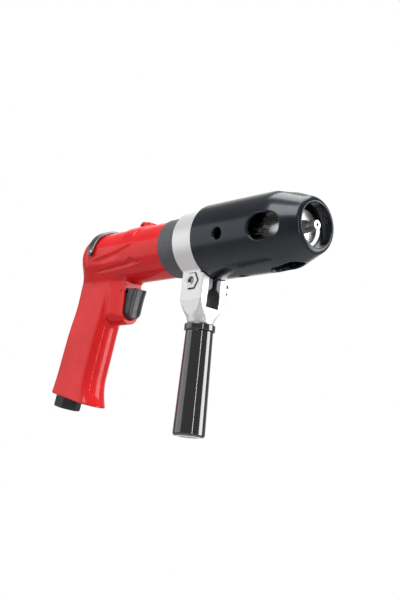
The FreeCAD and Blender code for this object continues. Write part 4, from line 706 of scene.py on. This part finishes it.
def dress(finishes):
    """Gives every piece and every carried-over CAD node the finish of its slot."""
    slots = {item["node"]: item["material_slot"] for item in frame["record"]["subparts"]}
    pieces = {"enamelled_housing": "housing", "black_guard": "chuck_guard", "steel_lever": "reverse_lever",
              "trigger_slide": "trigger", "cast_clamp": "clamp_casting", "handle_grip": "side_handle",
              "handle_ring": "handle_collar", "throttle_coil": "throttle_spring"}
    for node, slot in slots.items():
        thing = frame["nodes"][node]
        thing.data.materials.clear()
        thing.data.materials.append(finishes[slot])
    for piece, node in pieces.items():
        thing = bpy.data.objects[piece]
        thing.data.materials.clear()
        thing.data.materials.append(finishes[slots[node]])


# ---------------------------------------------------------------- stage, light and camera

def make_floor():
    """A plain pale floor well below the drill, which hangs free as in the photograph."""
    bpy.ops.mesh.primitive_plane_add(size=14, location=(-0.15, 0, -1.2))
    floor = bpy.context.object
    floor.name = "floor"
    finish = Finish("pale floor")
    finish.tint(finish.noise(3, 3), (0.80, 0.80, 0.80), (0.82, 0.82, 0.82))
    finish.set(Roughness=0.8)
    floor.data.materials.append(finish.material)


def softbox(name, place, target, width, height, power):
    """A rectangular area light that faces the target."""
    light = bpy.data.lights.new(name, "AREA")
    light.shape = "RECTANGLE"
    light.size = width
    light.size_y = height
    light.energy = power
    lamp = bpy.data.objects.new(name, light)
    lamp.location = place
    lamp.rotation_euler = (Vector(target) - Vector(place)).to_track_quat("-Z", "Y").to_euler()
    bpy.context.collection.objects.link(lamp)


def make_light(away):
    """A white surround behind the drill that fades to grey in front of it, and softboxes."""
    world = bpy.data.worlds.new("studio")
    bpy.context.scene.world = world
    world.use_nodes = True
    nodes, links = world.node_tree.nodes, world.node_tree.links
    place = nodes.new("ShaderNodeTexCoord")
    facing = nodes.new("ShaderNodeVectorMath")
    facing.operation = "DOT_PRODUCT"
    facing.inputs[1].default_value = away
    ramp = nodes.new("ShaderNodeMapRange")
    ramp.interpolation_type = "SMOOTHSTEP"
    for name, value in (("From Min", 0.78), ("From Max", 0.93), ("To Min", 0.22), ("To Max", 1.0)):
        ramp.inputs[name].default_value = value
    links.new(place.outputs["Generated"], facing.inputs[0])
    links.new(facing.outputs["Value"], ramp.inputs["Value"])
    links.new(ramp.outputs["Result"], nodes["Background"].inputs["Strength"])
    nodes["Background"].inputs["Color"].default_value = (1, 1, 1, 1)
    middle = (-0.15, 0, -0.03)
    softbox("near softbox", (-1.00, -0.95, 0.12), middle, 1.3, 1.0, 3.4)
    softbox("key softbox", (0.10, -1.0, 0.95), middle, 1.0, 0.9, 15)
    softbox("top softbox", (-0.10, 0.15, 1.3), middle, 1.2, 1.0, 16)
    softbox("front softbox", (0.62, 0.70, -0.05), (-0.12, 0, -0.10), 0.55, 1.0, 8.5)
    softbox("strip light", (0.83, -0.37, -0.05), (-0.12, 0, -0.12), 0.03, 0.8, 1.0)


def make_camera():
    """Stands in front of the nose, below the drill and on its near side, rolled a little."""
    camera = bpy.data.objects.new("camera", bpy.data.cameras.new("camera"))
    camera.location = (0.4914, -0.5738, -0.2335)
    camera.rotation_euler = [math.radians(angle) for angle in (102.337, -5.883, 45.809)]
    camera.data.sensor_width = 36
    camera.data.lens = 59.67
    camera.data.clip_start = 0.01
    bpy.context.collection.objects.link(camera)
    bpy.context.scene.camera = camera
    return camera.rotation_euler.to_matrix() @ Vector((0, 0, -1))


make_shapes()
make_side_handle()
make_spring()
break_edges()
dress(make_finishes())
make_floor()
make_light(make_camera())
bpy.context.scene.view_settings.view_transform = "Standard"
